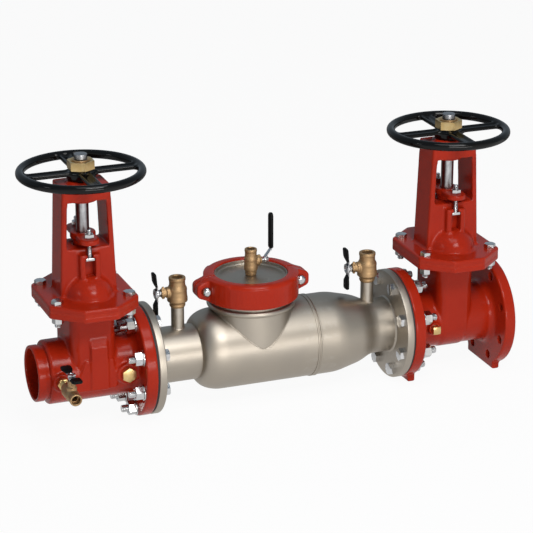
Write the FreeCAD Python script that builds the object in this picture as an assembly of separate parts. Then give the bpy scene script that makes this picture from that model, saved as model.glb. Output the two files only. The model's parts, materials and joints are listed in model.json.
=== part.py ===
# Double check backflow assembly, 4 inch: two check valves in a stainless housing
# between two outside-screw-and-yoke gate valves, with four test cocks.
# Millimetres. +X is the flow direction, +Z is up, and the camera side is -Y.
# The origin is the centre of the inlet end face, on the pipe axis.
import FreeCAD, Part
import math
import os

Vec = FreeCAD.Vector
X = Vec(1, 0, 0)
Y = Vec(0, 1, 0)
Z = Vec(0, 0, 1)
ORIGIN = Vec(0, 0, 0)

# Pipe line and flanges
pipe_od = 114.3
pipe_wall = 3.05
valve_length = 228.6
housing_length = 552.4
bore_d = 101.6
flange_od = 228.6
bolt_circle_d = 190.5
flange_bolt_count = 8
flange_bolt_d = 15.875
flange_hole_d = 19.05
joint_hole_d = 18.0
iron_flange_t = 23.8
steel_flange_t = 15.9
flange_gasket_t = 3.2
flange_edge = 3.0

# Grooved inlet end
groove_lip = 15.88
groove_width = 8.74
groove_d = 110.08

# Gate valve body
inlet_barrel_d = 130.0
outlet_barrel_d = 122.0
barrel_fillet = 13.0
inlet_neck_half_x = 46.0
outlet_neck_half_x = 40.0
neck_half_y = 63.0
neck_round = 20.0
body_top_z = 150.0
body_flange_t = 13.0
foot_half_y = 60.0
foot_t = 16.0
foot_height = 24.0
boss_reach = 70.0
cock_boss_d = 38.0
cock_boss_offset = -69.4
inlet_plug_boss_d = 44.0
outlet_plug_boss_d = 28.0
inlet_plug_offset = 65.4
outlet_plug_offset = -50.7
panel_proud = 7.0
inlet_plug_af = 22.0
outlet_plug_af = 19.0
plug_head_t = 10.0
plug_thread_share = 0.45

# Octagonal bonnet joint
bonnet_gasket_t = 1.5
bonnet_flange_t = 12.5
octagon_half_x = 91.0
octagon_half_y = 119.0
octagon_flat_x = 34.0
octagon_flat_y = 68.0
bonnet_bolt_x = 73.0
bonnet_bolt_y = 62.0
bonnet_bolt_d = 14.0

# Bonnet dome, stuffing box and yoke tower
dome_half_y = 82.0
dome_radius = 54.0
dome_above_joint = 9.0
cavity_headroom = 4.0
stuffing_floor_z = 214.0
stuffing_d = 40.0
tower_foot_half_x = 58.5
tower_top_half_x = 50.0
tower_half_y = 36.0
tower_shoulder_z = 362.0
tower_top_z = 388.0
tower_crown_half_x = 29.0
tower_edge = 5.0
window_floor_z = 262.0
window_top_z = 357.0
window_wall = 11.0
window_round = 4.0
yoke_boss_d = 60.0
yoke_boss_top_z = 392.0
yoke_boss_sag = 6.0

# Gland and its hooked bolts
gland_bolt_pitch = 88.0
gland_bolt_d = 10.0
gland_lobe_r = 20.0
gland_plate_z = 273.6
gland_plate_t = 11.0
hook_rib_half_x = 21.0
hook_slot_half_x = 10.0
hook_rib_proud = 15.0
hook_rib_z = 205.0
hook_slot_depth = 5.0
hook_shelf_z = 245.0
hook_shelf_t = 7.0
hook_head_t = 6.5
hook_edge = 5.0
packing_height = 36.0

# Stem, wedge and handwheel
stem_d = 26.0
stem_top_z = 444.0
stem_lift = 108.0
wedge_half_t = 19.0
wedge_radius = 55.0
wedge_round = 5.5
wedge_crown_z = 58.0
wedge_boss_h = 8.0
wedge_gap = 1.5
wedge_ring_inset = 9.0
wedge_ring_width = 4.0
wedge_ring_proud = 1.0
wheel_rim_d = 237.0
wheel_tube_d = 18.0
wheel_plane_z = 407.5
wheel_hub_d = 56.0
wheel_nut_af = 48.0
wheel_nut_z = 414.0
wheel_nut_t = 17.0
spoke_count = 4
spoke_width = 27.0
spoke_t = 5.0
spoke_rib_width = 6.0
spoke_rib_h = 4.0
sleeve_d = 44.0
sleeve_square = 31.0
sleeve_thread_d = 34.0
sleeve_top_z = 433.0
sleeve_collar_r = 26.0
sleeve_collar_t = 5.0

# Stainless housing
barrel_od = 168.3
housing_wall = 4.0
cap_inset = 109.2
cap_round = 26.0
reducer_inset = 62.2
reducer_length = 82.0
seam_inset = 52.0
seam_width = 11.0
seam_h = 1.6
seam_groove_width = 4.4
seam_groove_floor = 2.0
weld_leg = 6.0
tee_inset = 125.0
branch_od = 165.0
branch_top_z = 127.0
bead_z = 86.0
bead_t = 12.0
bead_proud = 8.5

# Clamped cover
coupling_od = 194.8
coupling_bottom_z = 105.6
coupling_top_z = 157.0
coupling_key_t = 8.7
coupling_wall = 4.4
coupling_mouth_d = 149.4
coupling_gap = 2.0
lug_reach = 121.0
lug_t = 16.0
lug_root_height = 48.0
lug_tip_height = 26.0
lug_round = 11.0
lug_sweep = 43.4
lug_pocket_d = 23.0
coupling_bolt_x = 105.5
coupling_bolt_d = 12.0
branch_groove_depth = 2.8
cover_floor_z = 145.5
cover_rim_t = 2.0
cover_rim_drop = 3.0
cover_corner = 5.0
cover_dome_h = 3.5
cover_dome_r = 40.0

# Check valves
check_1_inset = 54.0
check_2_inset = 80.0
seat_t = 10.0
seat_bore_d = 86.0
seat_lip = 4.0
seat_lip_h = 3.0
ledge_t = 6.0
ledge_depth = 6.0
disc_t = 5.0
disc_d = 100.0
clapper_t = 6.0
clapper_boss_r = 16.0
hinge_z = 60.0
hinge_ahead = 8.0
pin_d = 8.0
knuckle_r = 7.0
knuckle_half = 12.5
ear_gap = 0.5
ear_t = 5.0
spring_length = 8.5

# Test cocks
riser_od = 26.7
riser_bore_d = 18.0
riser_top_z = 101.0
riser_2_inset = 75.9
riser_4_inset = 60.3
cock_1_x = 44.9
cock_nipple_length = 22.0
cock_spigot = 10.0
cock_thread_r = 9.0
nipple_af = 22.0
nipple_nut_t = 9.0
wing_half_span = 45.0
wing_half_width = 9.0
wing_t = 2.5
wing_crank = 4.0
ear_proud = 4.0
ear_half_t = 2.5
lever_width = 12.0
lever_t = 2.5
lever_offset = 12.0
lever_rise = 22.0
grip_top = 95.6
grip_t = 6.5

# Clearances
running = 0.05
loose = 0.3
hole_gap = 0.6


def rounded_wire(corners, place):
    """Closed wire through corners (u, v, rounding), drawn where place(u, v) puts them."""
    points = [place(u, v) for u, v, _ in corners]
    count = len(points)
    ends = []
    for i, (_, _, radius) in enumerate(corners):
        here = points[i]
        back = (points[i - 1] - here).normalize()
        ahead = (points[(i + 1) % count] - here).normalize()
        if radius <= 0:
            ends.append((here, None, here))
            continue
        half = back.getAngle(ahead) / 2
        middle = (back + ahead).normalize()
        run = radius / math.tan(half)
        bow = radius / math.sin(half) - radius
        ends.append((here + back * run, here + middle * bow, here + ahead * run))
    edges = []
    for i in range(count):
        start, bend, finish = ends[i]
        if bend is not None:
            edges.append(Part.Arc(start, bend, finish).toShape())
        following = ends[(i + 1) % count][0]
        if finish.distanceToPoint(following) > 1e-6:
            edges.append(Part.LineSegment(finish, following).toShape())
    return Part.Wire(edges)


def turned(corners, base=ORIGIN, axis=X):
    """Solid turned about an axis. Each corner is (distance along, radius, rounding)."""
    side = X if abs(axis.z) > 0.5 else Z
    wire = rounded_wire(corners, lambda along, radius: base + axis * along + side * radius)
    return Part.Face(wire).revolve(base, axis, 360)


def flat_plate(corners, base, across, up, depth):
    """Solid with a rounded outline, drawn from base and pushed along depth."""
    wire = rounded_wire(corners, lambda u, v: base + across * u + up * v)
    return Part.Face(wire).extrude(depth)


def bar(radius, start, axis, length):
    """Round bar from start along axis."""
    return Part.makeCylinder(radius, length, start, axis)


def block(low, high):
    """Box between two corners given as (x, y, z)."""
    size = [top - bottom for bottom, top in zip(low, high)]
    return Part.makeBox(size[0], size[1], size[2], Vec(*low))


def hexagon(across_flats, start, axis, length, corner_way=None):
    """Hexagonal bar from start along axis, with two of its corners along corner_way."""
    across = corner_way or (X if abs(axis.x) < 0.5 else Y)
    up = axis.cross(across)
    radius = across_flats / math.sqrt(3)
    turns = [math.radians(60 * k) for k in range(6)]
    corners = [(radius * math.cos(t), radius * math.sin(t), 0) for t in turns]
    return flat_plate(corners, start, across, up, axis * length)


def rounded_box(half_x, half_y, rounding, low_z, high_z):
    """Upright block about the Z axis with rounded vertical edges."""
    corners = [(half_x, half_y, rounding), (-half_x, half_y, rounding),
               (-half_x, -half_y, rounding), (half_x, -half_y, rounding)]
    return flat_plate(corners, Vec(0, 0, low_z), X, Y, Z * (high_z - low_z))


def gate_form(half_x, radius, rounding, top_z):
    """Upright block that ends below in a half round, as a gate and its pocket do."""
    upper = rounded_box(half_x, radius, rounding, 0, top_z)
    lower = turned([(-half_x, 0, 0), (-half_x, radius, rounding),
                    (half_x, radius, rounding), (half_x, 0, 0)])
    return upper.fuse(lower).removeSplitter()


def joined(first, *others):
    """One solid from several that touch."""
    return first.fuse(list(others)).removeSplitter()


def moved(shape, x=0, y=0, z=0):
    """Copy of a shape at another place."""
    copy = shape.copy()
    copy.translate(Vec(x, y, z))
    return copy


def save(name, *solids):
    """Write one named piece, or one group of separate solids."""
    shape = solids[0] if len(solids) == 1 else Part.makeCompound(list(solids))
    shape.exportStep("parts/" + name + ".step")


# Places worked out from the sizes
pipe_r = pipe_od / 2
bore_r = bore_d / 2
half_valve = valve_length / 2
inlet_stem_x = half_valve
housing_x = valve_length + flange_gasket_t
housing_end_x = housing_x + housing_length
cap_start_x = housing_x + cap_inset
tee_x = cap_start_x + tee_inset
check_1_x = cap_start_x + check_1_inset
reducer_end_x = housing_end_x - reducer_inset
reducer_start_x = reducer_end_x - reducer_length
seam_x = reducer_start_x - seam_inset
check_2_x = reducer_start_x - check_2_inset
riser_2_x = housing_x + riser_2_inset
riser_4_x = housing_end_x - riser_4_inset
outlet_x = housing_end_x + flange_gasket_t
outlet_stem_x = outlet_x + half_valve
bonnet_z = body_top_z + bonnet_gasket_t
bonnet_flange_top_z = bonnet_z + bonnet_flange_t
dome_z = bonnet_z + dome_above_joint
barrel_r = barrel_od / 2
branch_r = branch_od / 2
stem_r = stem_d / 2
sleeve_r = sleeve_d / 2
hinge_x_ahead = seat_t + seat_lip_h + hinge_ahead
cavity_top_z = wedge_crown_z + wedge_boss_h + stem_lift + cavity_headroom


def bolt_circle(radius, start_x, length):
    """Round bars at the flange bolt places, which straddle the centre lines."""
    bars = []
    for k in range(flange_bolt_count):
        angle = 2 * math.pi * (k + 0.5) / flange_bolt_count
        y = bolt_circle_d / 2 * math.cos(angle)
        z = bolt_circle_d / 2 * math.sin(angle)
        bars.append(bar(radius, Vec(start_x, y, z), X, length))
    return bars


def foot(inner_x, direction):
    """Flat pad that squares the bottom of a flange, level with the flange's lowest line."""
    low_x, high_x = sorted((inner_x, inner_x + direction * foot_t))
    bottom = -flange_od / 2
    return block((low_x, -foot_half_y, bottom), (high_x, foot_half_y, bottom + foot_height))


def side_boss(offset, diameter, bore_radius):
    """Round boss on the camera side of a valve body, and the hole through it."""
    start = Vec(offset, -bore_r, 0)
    boss = bar(diameter / 2, start, -Y, boss_reach - bore_r)
    hole = bar(bore_radius, Vec(offset, 0, 0), -Y, boss_reach + loose)
    return boss, hole


def front_panels(barrel_radius, half):
    """Raised panel and the sloping pedestal behind it on the inlet body's front."""
    foot_z = -0.42 * barrel_radius
    start = Vec(0, -bore_r - loose, 0)
    pedestal = flat_plate([(-0.45 * half, 0.55 * barrel_radius, 3), (0.8 * half, 0.55 * barrel_radius, 3),
                           (0.95 * half, foot_z, 4), (-0.95 * half, foot_z, 4)],
                          start, X, Z, -Y * (neck_half_y + panel_proud / 2 + start.y))
    panel = flat_plate([(foot_z + panel_proud, 0, 0), (foot_z, panel_proud, 0),
                        (neck_half_y, panel_proud, 6), (neck_half_y + 3 * panel_proud, 0, 0)],
                       Vec(-0.21 * half, -neck_half_y, 0), Z, -Y, X * 0.75 * half)
    backing = block((-0.21 * half, -neck_half_y, foot_z + panel_proud),
                    (0.54 * half, -bore_r - loose, neck_half_y))
    return [pedestal, panel, backing]


def body_barrel(barrel_radius, grooved):
    """Outer form of a valve body along the pipe, without its neck."""
    edge = flange_od / 2
    inner = half_valve - iron_flange_t
    right = [(inner, barrel_radius, barrel_fillet), (inner, edge, flange_edge),
             (half_valve, edge, 1), (half_valve, 0, 0)]
    if grooved:
        lip = -half_valve + groove_lip
        shoulder = lip + groove_width
        left = [(-half_valve, 0, 0), (-half_valve, pipe_r, 0), (lip, pipe_r, 0),
                (lip, groove_d / 2, 0), (shoulder, groove_d / 2, 0), (shoulder, barrel_radius, 5)]
    else:
        left = [(-half_valve, 0, 0), (-half_valve, edge, 1), (-inner, edge, flange_edge),
                (-inner, barrel_radius, barrel_fillet)]
    return turned(left + right)


def octagon(low_z, thickness, inset):
    """Octagonal plate of the bonnet joint."""
    far_x = octagon_half_x - inset
    far_y = octagon_half_y - inset
    near_x = octagon_flat_x - inset / 3
    near_y = octagon_flat_y - inset / 3
    points = [(near_x, far_y), (far_x, near_y), (far_x, -near_y), (near_x, -far_y),
              (-near_x, -far_y), (-far_x, -near_y), (-far_x, near_y), (-near_x, far_y)]
    corners = [(x, y, 8) for x, y in points]
    return flat_plate(corners, Vec(0, 0, low_z), X, Y, Z * thickness)


def bonnet_bars(radius, low_z, length):
    """Round bars at the four bonnet bolt places."""
    places = [(x, y) for x in (-bonnet_bolt_x, bonnet_bolt_x) for y in (-bonnet_bolt_y, bonnet_bolt_y)]
    return [bar(radius, Vec(x, y, low_z), Z, length) for x, y in places]


def gate_pocket(top_z):
    """Space that the wedge moves in."""
    return gate_form(wedge_half_t + wedge_gap, wedge_radius + wedge_gap, wedge_round, top_z)


def valve_body(barrel_radius, neck_half_x, grooved, plug_offset, plug_boss_d, plug_af):
    """Casting of one gate valve below the bonnet joint, about its own stem axis."""
    neck = gate_form(neck_half_x, neck_half_y, neck_round, body_top_z)
    plate = octagon(body_top_z - body_flange_t, body_flange_t, 0)
    plug_boss, plug_hole = side_boss(plug_offset, plug_boss_d, plug_thread_share * plug_af + loose / 2)
    solids = [neck, plate, plug_boss]
    inner = half_valve - iron_flange_t
    cuts = [bar(bore_r, Vec(-half_valve, 0, 0), X, valve_length), gate_pocket(body_top_z), plug_hole]
    cuts += bonnet_bars(bonnet_bolt_d / 2 + hole_gap, body_top_z - body_flange_t, body_flange_t)
    if grooved:
        boss, hole = side_boss(cock_boss_offset, cock_boss_d, cock_thread_r + loose / 2)
        solids += [boss] + front_panels(barrel_radius, neck_half_x)
        cuts.append(hole)
        cuts += bolt_circle(joint_hole_d / 2, inner, iron_flange_t)
    else:
        solids += [foot(-inner, -1), foot(inner, 1)]
        cuts += bolt_circle(joint_hole_d / 2, -half_valve, iron_flange_t)
        cuts += bolt_circle(flange_hole_d / 2, inner, iron_flange_t)
    return joined(body_barrel(barrel_radius, grooved), *solids).cut(cuts)


def dome():
    """Rounded cap over the wedge space, wider across the valve than along it."""
    centre = Vec(0, 0, dome_z)
    curve = Part.Ellipse(centre + Y * dome_half_y, centre + Z * dome_radius, centre)
    arch = Part.Edge(curve.copy(), 0, math.pi)
    chord = Part.LineSegment(arch.valueAt(arch.LastParameter), arch.valueAt(arch.FirstParameter))
    whole = Part.Face(Part.Wire([arch, chord.toShape()])).revolve(centre, Y, 360)
    reach = dome_half_y + dome_radius
    return whole.common(block((-reach, -reach, bonnet_z), (reach, reach, dome_z + reach)))


def tower():
    """Yoke tower: a tapered block with softened uprights."""
    outline = [(-tower_foot_half_x, bonnet_z, 0), (-tower_top_half_x, tower_shoulder_z, 8),
               (-tower_crown_half_x, tower_top_z, 4), (tower_crown_half_x, tower_top_z, 4),
               (tower_top_half_x, tower_shoulder_z, 8), (tower_foot_half_x, bonnet_z, 0)]
    solid = flat_plate(outline, Vec(0, -tower_half_y, 0), X, Z, Y * 2 * tower_half_y)
    rise = 0.8 * (tower_shoulder_z - bonnet_z)
    uprights = [edge for edge in solid.Edges if edge.BoundBox.ZLength > rise]
    return solid.makeFillet(tower_edge, uprights)


def window():
    """Opening through the tower, between the stuffing box and the yoke boss."""
    slope = (tower_foot_half_x - tower_top_half_x) / (tower_shoulder_z - bonnet_z)
    low = tower_foot_half_x - slope * (window_floor_z - bonnet_z) - window_wall
    high = tower_foot_half_x - slope * (window_top_z - bonnet_z) - window_wall
    outline = [(-low, window_floor_z, window_round), (-high, window_top_z, window_round),
               (high, window_top_z, window_round), (low, window_floor_z, window_round)]
    return flat_plate(outline, Vec(0, -2 * tower_half_y, 0), X, Z, Y * 4 * tower_half_y)


def hook_rib(side):
    """Slotted rib pair that holds a hooked gland bolt on one face of the tower."""
    near = tower_half_y - tower_edge
    far = tower_half_y + hook_rib_proud
    top = hook_shelf_z + hook_shelf_t
    outline = [(-hook_rib_half_x, near, 0), (hook_rib_half_x, near, 0),
               (hook_rib_half_x, far, hook_edge), (-hook_rib_half_x, far, hook_edge)]
    return flat_plate(outline, Vec(0, 0, hook_rib_z), X, Y * side, Z * (top - hook_rib_z))


def hook_slot(side):
    """Pocket under the shelf of one rib pair, and the notch for the bolt's shank."""
    shank = gland_bolt_d / 2 + hole_gap
    floor = tower_half_y - hook_slot_depth
    out = hook_rib_proud + 2 * hook_slot_depth
    start = Vec(0, side * floor, 0)
    pocket = [(-hook_slot_half_x, hook_rib_z, 0), (hook_slot_half_x, hook_rib_z, 0),
              (hook_slot_half_x, hook_shelf_z, 0), (-hook_slot_half_x, hook_shelf_z, 0)]
    notch_start = Vec(0, side * (tower_half_y + 1), 0)
    notch = [(-shank, hook_shelf_z - 1, 0), (shank, hook_shelf_z - 1, 0),
             (shank, hook_shelf_z + 2 * hook_shelf_t, 0), (-shank, hook_shelf_z + 2 * hook_shelf_t, 0)]
    depth = Y * side * out
    return [flat_plate(pocket, start, X, Z, depth), flat_plate(notch, notch_start, X, Z, depth)]


def bonnet():
    """Bonnet casting with its yoke, about the stem axis."""
    boss_low = window_top_z - yoke_boss_sag
    boss = bar(yoke_boss_d / 2, Vec(0, 0, boss_low), Z, yoke_boss_top_z - boss_low)
    outer = joined(octagon(bonnet_z, bonnet_flange_t, 0), dome(), tower()).cut(window())
    outer = joined(outer, boss, hook_rib(1), hook_rib(-1)).cut(hook_slot(1) + hook_slot(-1))
    collar = bar(sleeve_collar_r + loose, Vec(0, 0, boss_low), Z, sleeve_collar_t)
    wedge_room = rounded_box(wedge_half_t + wedge_gap, wedge_radius + wedge_gap, wedge_round,
                             bonnet_z, cavity_top_z)
    stem_hole = bar(stem_r + loose, Vec(0, 0, bonnet_z), Z, window_floor_z - bonnet_z)
    box_hole = bar(stuffing_d / 2, Vec(0, 0, stuffing_floor_z), Z, window_floor_z - stuffing_floor_z)
    sleeve_hole = bar(sleeve_r + running, Vec(0, 0, boss_low), Z, yoke_boss_top_z - boss_low)
    cuts = [collar, wedge_room, stem_hole, box_hole, sleeve_hole]
    cuts += bonnet_bars(bonnet_bolt_d / 2 + hole_gap, bonnet_z, bonnet_flange_t)
    return outer.cut(cuts)


def gland():
    """Two-lobed gland follower whose spigot presses on the packing."""
    pitch = gland_bolt_pitch / 2
    outline = [(-gland_lobe_r, -pitch - gland_lobe_r, gland_lobe_r * 0.99),
               (gland_lobe_r, -pitch - gland_lobe_r, gland_lobe_r * 0.99),
               (gland_lobe_r, pitch + gland_lobe_r, gland_lobe_r * 0.99),
               (-gland_lobe_r, pitch + gland_lobe_r, gland_lobe_r * 0.99)]
    plate = flat_plate(outline, Vec(0, 0, gland_plate_z), X, Y, Z * gland_plate_t)
    collar_r = stuffing_d / 2 + gland_plate_t / 2
    centre = turned([(0, 0, 0), (0, collar_r, 0), (gland_plate_t + 2, collar_r, 2),
                     (gland_plate_t + 2, 0, 0)], Vec(0, 0, gland_plate_z), Z)
    spigot_low = stuffing_floor_z + packing_height
    spigot = bar(stuffing_d / 2 - loose, Vec(0, 0, spigot_low), Z, gland_plate_z - spigot_low)
    cuts = [bar(stem_r + loose, Vec(0, 0, spigot_low), Z, stem_top_z)]
    for y in (-pitch, pitch):
        cuts.append(bar(gland_bolt_d / 2 + hole_gap, Vec(0, y, gland_plate_z), Z, 2 * gland_plate_t))
    return joined(plate, centre, spigot).cut(cuts)


def packing():
    """Packing rings in the stuffing box, as one turned sleeve with ring grooves."""
    outer = stuffing_d / 2 - running
    ring = packing_height / 4
    corners = [(0, stem_r + running, 0), (0, outer, 0)]
    for k in range(1, 4):
        corners += [(k * ring, outer, 0), (k * ring + 0.5, outer - 1, 0), (k * ring + 1, outer, 0)]
    corners += [(packing_height, outer, 0), (packing_height, stem_r + running, 0)]
    return turned(corners, Vec(0, 0, stuffing_floor_z), Z)


def gland_bolt(side):
    """Hooked bolt: a shank with a cross head that sits under the rib's shelf."""
    y = side * gland_bolt_pitch / 2
    half = hook_slot_half_x - 1
    depth = gland_bolt_d / 2 + 0.5
    head = block((-half, y - depth, hook_shelf_z - hook_head_t), (half, y + depth, hook_shelf_z))
    top = gland_plate_z + gland_plate_t + 1.8 * gland_bolt_d
    shank = bar(gland_bolt_d / 2, Vec(0, y, hook_shelf_z - hook_head_t / 2), Z,
                top - hook_shelf_z + hook_head_t / 2)
    return joined(head, shank)


def hex_nut(across_flats, bolt_radius, start, axis, thickness, corner_way=None):
    """Plain hexagon nut from start along axis."""
    body = hexagon(across_flats, start, axis, thickness, corner_way)
    return body.cut(bar(bolt_radius + running, start, axis, thickness))


def hex_bolt(across_flats, head_t, radius, start, axis, length):
    """Hexagon bolt: the head stands behind start, the shank runs along axis."""
    head = hexagon(across_flats, start - axis * head_t, axis, head_t)
    return joined(head, bar(radius, start, axis, length))


def stem():
    """Rising stem with a collar at its foot and a chamfered top."""
    foot_z = wedge_crown_z - 2 * wedge_boss_h
    length = stem_top_z - foot_z
    return turned([(0, 0, 0), (0, stem_r, 0), (length, stem_r, 1.5), (length, 0, 0)],
                  Vec(0, 0, foot_z), Z)


def wedge():
    """Rubber-faced gate: a thick tongue with a boss for the stem and side guides."""
    form = gate_form(wedge_half_t, wedge_radius, wedge_round - wedge_gap / 2, wedge_crown_z)
    boss = bar(wedge_half_t, Vec(0, 0, wedge_crown_z), Z, wedge_boss_h)
    hole_z = wedge_crown_z - 2 * wedge_boss_h
    hole = bar(stem_r + running, Vec(0, 0, hole_z), Z, 4 * wedge_boss_h)
    high = wedge_radius - wedge_ring_inset
    low = high - wedge_ring_width
    proud_x = -wedge_half_t - wedge_ring_proud
    seat_ring = turned([(proud_x, high, 0), (proud_x, low, 0), (-wedge_half_t, low - wedge_ring_proud, 0),
                        (-wedge_half_t, high + wedge_ring_proud, 0)])
    return joined(form, boss, seat_ring, seat_ring.mirror(ORIGIN, X)).cut(hole)


def handwheel():
    """Wheel with a round rim, ribbed spokes and a hub with a square hole."""
    rim = Part.makeTorus(wheel_rim_d / 2, wheel_tube_d / 2, Vec(0, 0, wheel_plane_z), Z)
    hub_low = yoke_boss_top_z + loose
    hub_h = wheel_nut_z - hub_low
    hub_r = wheel_hub_d / 2
    hub = turned([(0, 0, 0), (0, hub_r, 2), (hub_h - 6, hub_r, 3), (hub_h, 0.86 * hub_r, 0),
                  (hub_h, 0, 0)], Vec(0, 0, hub_low), Z)
    spokes = []
    for k in range(spoke_count):
        low = wheel_plane_z - spoke_t
        half = spoke_width / 2
        rib = spoke_rib_width
        top = spoke_t + spoke_rib_h
        section = [(-half, 0, 0), (half, 0, 0), (half, top, 1.5), (half - rib, top, 1.5),
                   (half - rib, spoke_t, 0), (rib - half, spoke_t, 0), (rib - half, top, 1.5),
                   (-half, top, 1.5)]
        arm = flat_plate(section, Vec(0, 0, low), Y, Z, X * wheel_rim_d / 2)
        arm.rotate(ORIGIN, Z, 360 * k / spoke_count)
        spokes.append(arm)
    half_square = sleeve_square / 2 + running
    hole = block((-half_square, -half_square, hub_low - 1), (half_square, half_square, wheel_nut_z + 1))
    return joined(rim, hub, *spokes).cut(hole)


def yoke_sleeve():
    """Bronze stem nut: collar under the yoke boss, square drive and screwed top."""
    low = window_top_z - yoke_boss_sag
    collar = bar(sleeve_collar_r, Vec(0, 0, low), Z, sleeve_collar_t - loose)
    journal = bar(sleeve_r, Vec(0, 0, low), Z, yoke_boss_top_z + loose - low)
    half = sleeve_square / 2
    drive = block((-half, -half, yoke_boss_top_z), (half, half, wheel_nut_z))
    top = bar(sleeve_thread_d / 2, Vec(0, 0, wheel_nut_z), Z, sleeve_top_z - wheel_nut_z)
    hole = bar(stem_r + running, Vec(0, 0, low), Z, sleeve_top_z - low)
    return joined(collar, journal, drive, top).cut(hole)


def wheel_nut():
    """Hexagon nut with bevelled corners that holds the wheel on the sleeve."""
    start = Vec(0, 0, wheel_nut_z)
    body = hexagon(wheel_nut_af, start, Z, wheel_nut_t)
    corner_r = wheel_nut_af / math.sqrt(3)
    bevel = turned([(0, 0, 0), (0, corner_r + 1, 0), (wheel_nut_t - 3, corner_r + 1, 0),
                    (wheel_nut_t, 0.98 * wheel_nut_af / 2, 0), (wheel_nut_t, 0, 0)], start, Z)
    return body.common(bevel).cut(bar(sleeve_thread_d / 2 + running, start, Z, wheel_nut_t))


def pipe_profile(inset):
    """Outline of the housing along the pipe, drawn in by a wall thickness."""
    small = pipe_r - (pipe_wall if inset else 0)
    large = barrel_r - inset
    drop = large - small
    run = reducer_end_x - reducer_start_x
    cap = cap_start_x + inset
    waist_x = reducer_start_x + 0.65 * run
    return [(housing_x, 0, 0), (housing_x, small, 0), (cap, small, 3),
            (cap, large, min(cap_round, drop) - 0.2 * inset),
            (reducer_start_x, large, 1.4 * barrel_r), (waist_x, large - 0.49 * drop, 1.2 * barrel_r),
            (reducer_end_x, small, 0.15 * barrel_r), (housing_end_x, small, 0), (housing_end_x, 0, 0)]


def fillet_weld(face_x, direction):
    """Weld ring in the corner between the pipe and a housing flange."""
    end_x = face_x + direction * weld_leg
    return turned([(face_x, pipe_r - 1, 0), (face_x, pipe_r + weld_leg, 0),
                   (end_x, pipe_r, 0), (end_x, pipe_r - 1, 0)])


def seam_band():
    """Rolled weld band round the barrel, with a groove along its middle."""
    half = seam_width / 2
    edge = seam_groove_width / 2
    floor = seam_groove_floor / 2
    top = barrel_r + seam_h
    low = barrel_r + 0.1
    return turned([(seam_x - half, barrel_r - 1, 0), (seam_x - half, top, 0.8), (seam_x - edge, top, 0.4),
                   (seam_x - floor, low, 0), (seam_x + floor, low, 0), (seam_x + edge, top, 0.4),
                   (seam_x + half, top, 0.8), (seam_x + half, barrel_r - 1, 0)])


def housing():
    """Stainless body: pipe ends, barrel, tee branch, stop rings and end welds."""
    axis_foot = Vec(tee_x, 0, 0)
    branch = bar(branch_r, axis_foot, Z, branch_top_z)
    bead = turned([(0, branch_r - 1, 0), (0, branch_r + bead_proud, bead_t / 2.1),
                   (bead_t, branch_r + bead_proud, bead_t / 2.1), (bead_t, branch_r - 1, 0)],
                  axis_foot + Z * bead_z, Z)
    welds = [fillet_weld(housing_x + steel_flange_t, 1), fillet_weld(housing_end_x - steel_flange_t, -1)]
    outer = joined(turned(pipe_profile(0)), branch, bead, seam_band(), *welds)
    hollow = turned(pipe_profile(housing_wall))
    branch_bore = bar(branch_r - housing_wall, axis_foot, Z, branch_top_z)
    groove_r = branch_r - branch_groove_depth
    groove = turned([(key_low_z - loose, groove_r, 0), (key_low_z - loose, branch_r + 1, 0),
                     (key_low_z + coupling_key_t + loose, branch_r + 1, 0),
                     (key_low_z + coupling_key_t + loose, groove_r, 0)], axis_foot, Z)
    taps = [bar(riser_bore_d / 2, Vec(x, 0, 0), Z, barrel_r) for x in (riser_2_x, riser_4_x)]
    body = outer.cut([hollow, branch_bore, groove] + taps)
    rings = []
    inner_r = barrel_r - housing_wall
    for x in (check_1_x + seat_t, check_2_x + seat_t):
        rings.append(turned([(x, inner_r - ledge_depth, 0), (x, inner_r + 1, 0),
                             (x + ledge_t, inner_r + 1, 0), (x + ledge_t, inner_r - ledge_depth, 0)]))
    return joined(body, *rings)


def steel_flange(start_x):
    """Slip-on stainless flange."""
    outer_r = flange_od / 2
    inner_r = pipe_r + running
    ring = turned([(start_x, inner_r, 0), (start_x, outer_r, 2), (start_x + steel_flange_t, outer_r, 2),
                   (start_x + steel_flange_t, inner_r, 0)])
    return ring.cut(bolt_circle(joint_hole_d / 2, start_x, steel_flange_t))


def flange_gasket(start_x):
    """Full-face gasket between two flanges."""
    outer_r = flange_od / 2 - 2.3
    ring = turned([(start_x, bore_r, 0), (start_x, outer_r, 0), (start_x + flange_gasket_t, outer_r, 0),
                   (start_x + flange_gasket_t, bore_r, 0)])
    return ring.cut(bolt_circle(joint_hole_d / 2, start_x, flange_gasket_t))


# Coupling places worked out from the sizes
key_low_z = coupling_bottom_z + 2.7
key_top_z = key_low_z + coupling_key_t
upper_key_z = coupling_top_z - coupling_key_t
lug_mid_z = (coupling_bottom_z + coupling_top_z) / 2
coupling_r = coupling_od / 2
mouth_r = coupling_mouth_d / 2


def coupling_lug(way, side):
    """Bolt lug that sweeps off the ring and narrows round the bolt."""
    hollow_r = coupling_r - coupling_wall
    half_gap = coupling_gap / 2
    tip = lug_tip_height / 2
    root = lug_root_height / 2
    sweep = math.radians(lug_sweep)
    face = half_gap + lug_t
    plan = [(hollow_r - lug_t, half_gap, 0), (lug_reach, half_gap, 0), (lug_reach, face, 3),
            (coupling_r * math.cos(sweep), coupling_r * math.sin(sweep), 0),
            (hollow_r * math.cos(sweep), hollow_r * math.sin(sweep), 0)]
    low = Vec(tee_x, 0, lug_mid_z - root)
    body = flat_plate(plan, low, X * way, Y * side, Z * lug_root_height)
    outline = [(0, -root, 0), (hollow_r, -root, 0), (lug_reach, -tip, lug_round),
               (lug_reach, tip, lug_round), (hollow_r, root, 0), (0, root, 0)]
    side_view = flat_plate(outline, Vec(tee_x, 0, lug_mid_z), X * way, Z, Y * side * coupling_r)
    return body.common(side_view).cut(bar(hollow_r, low, Z, lug_root_height))


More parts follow.
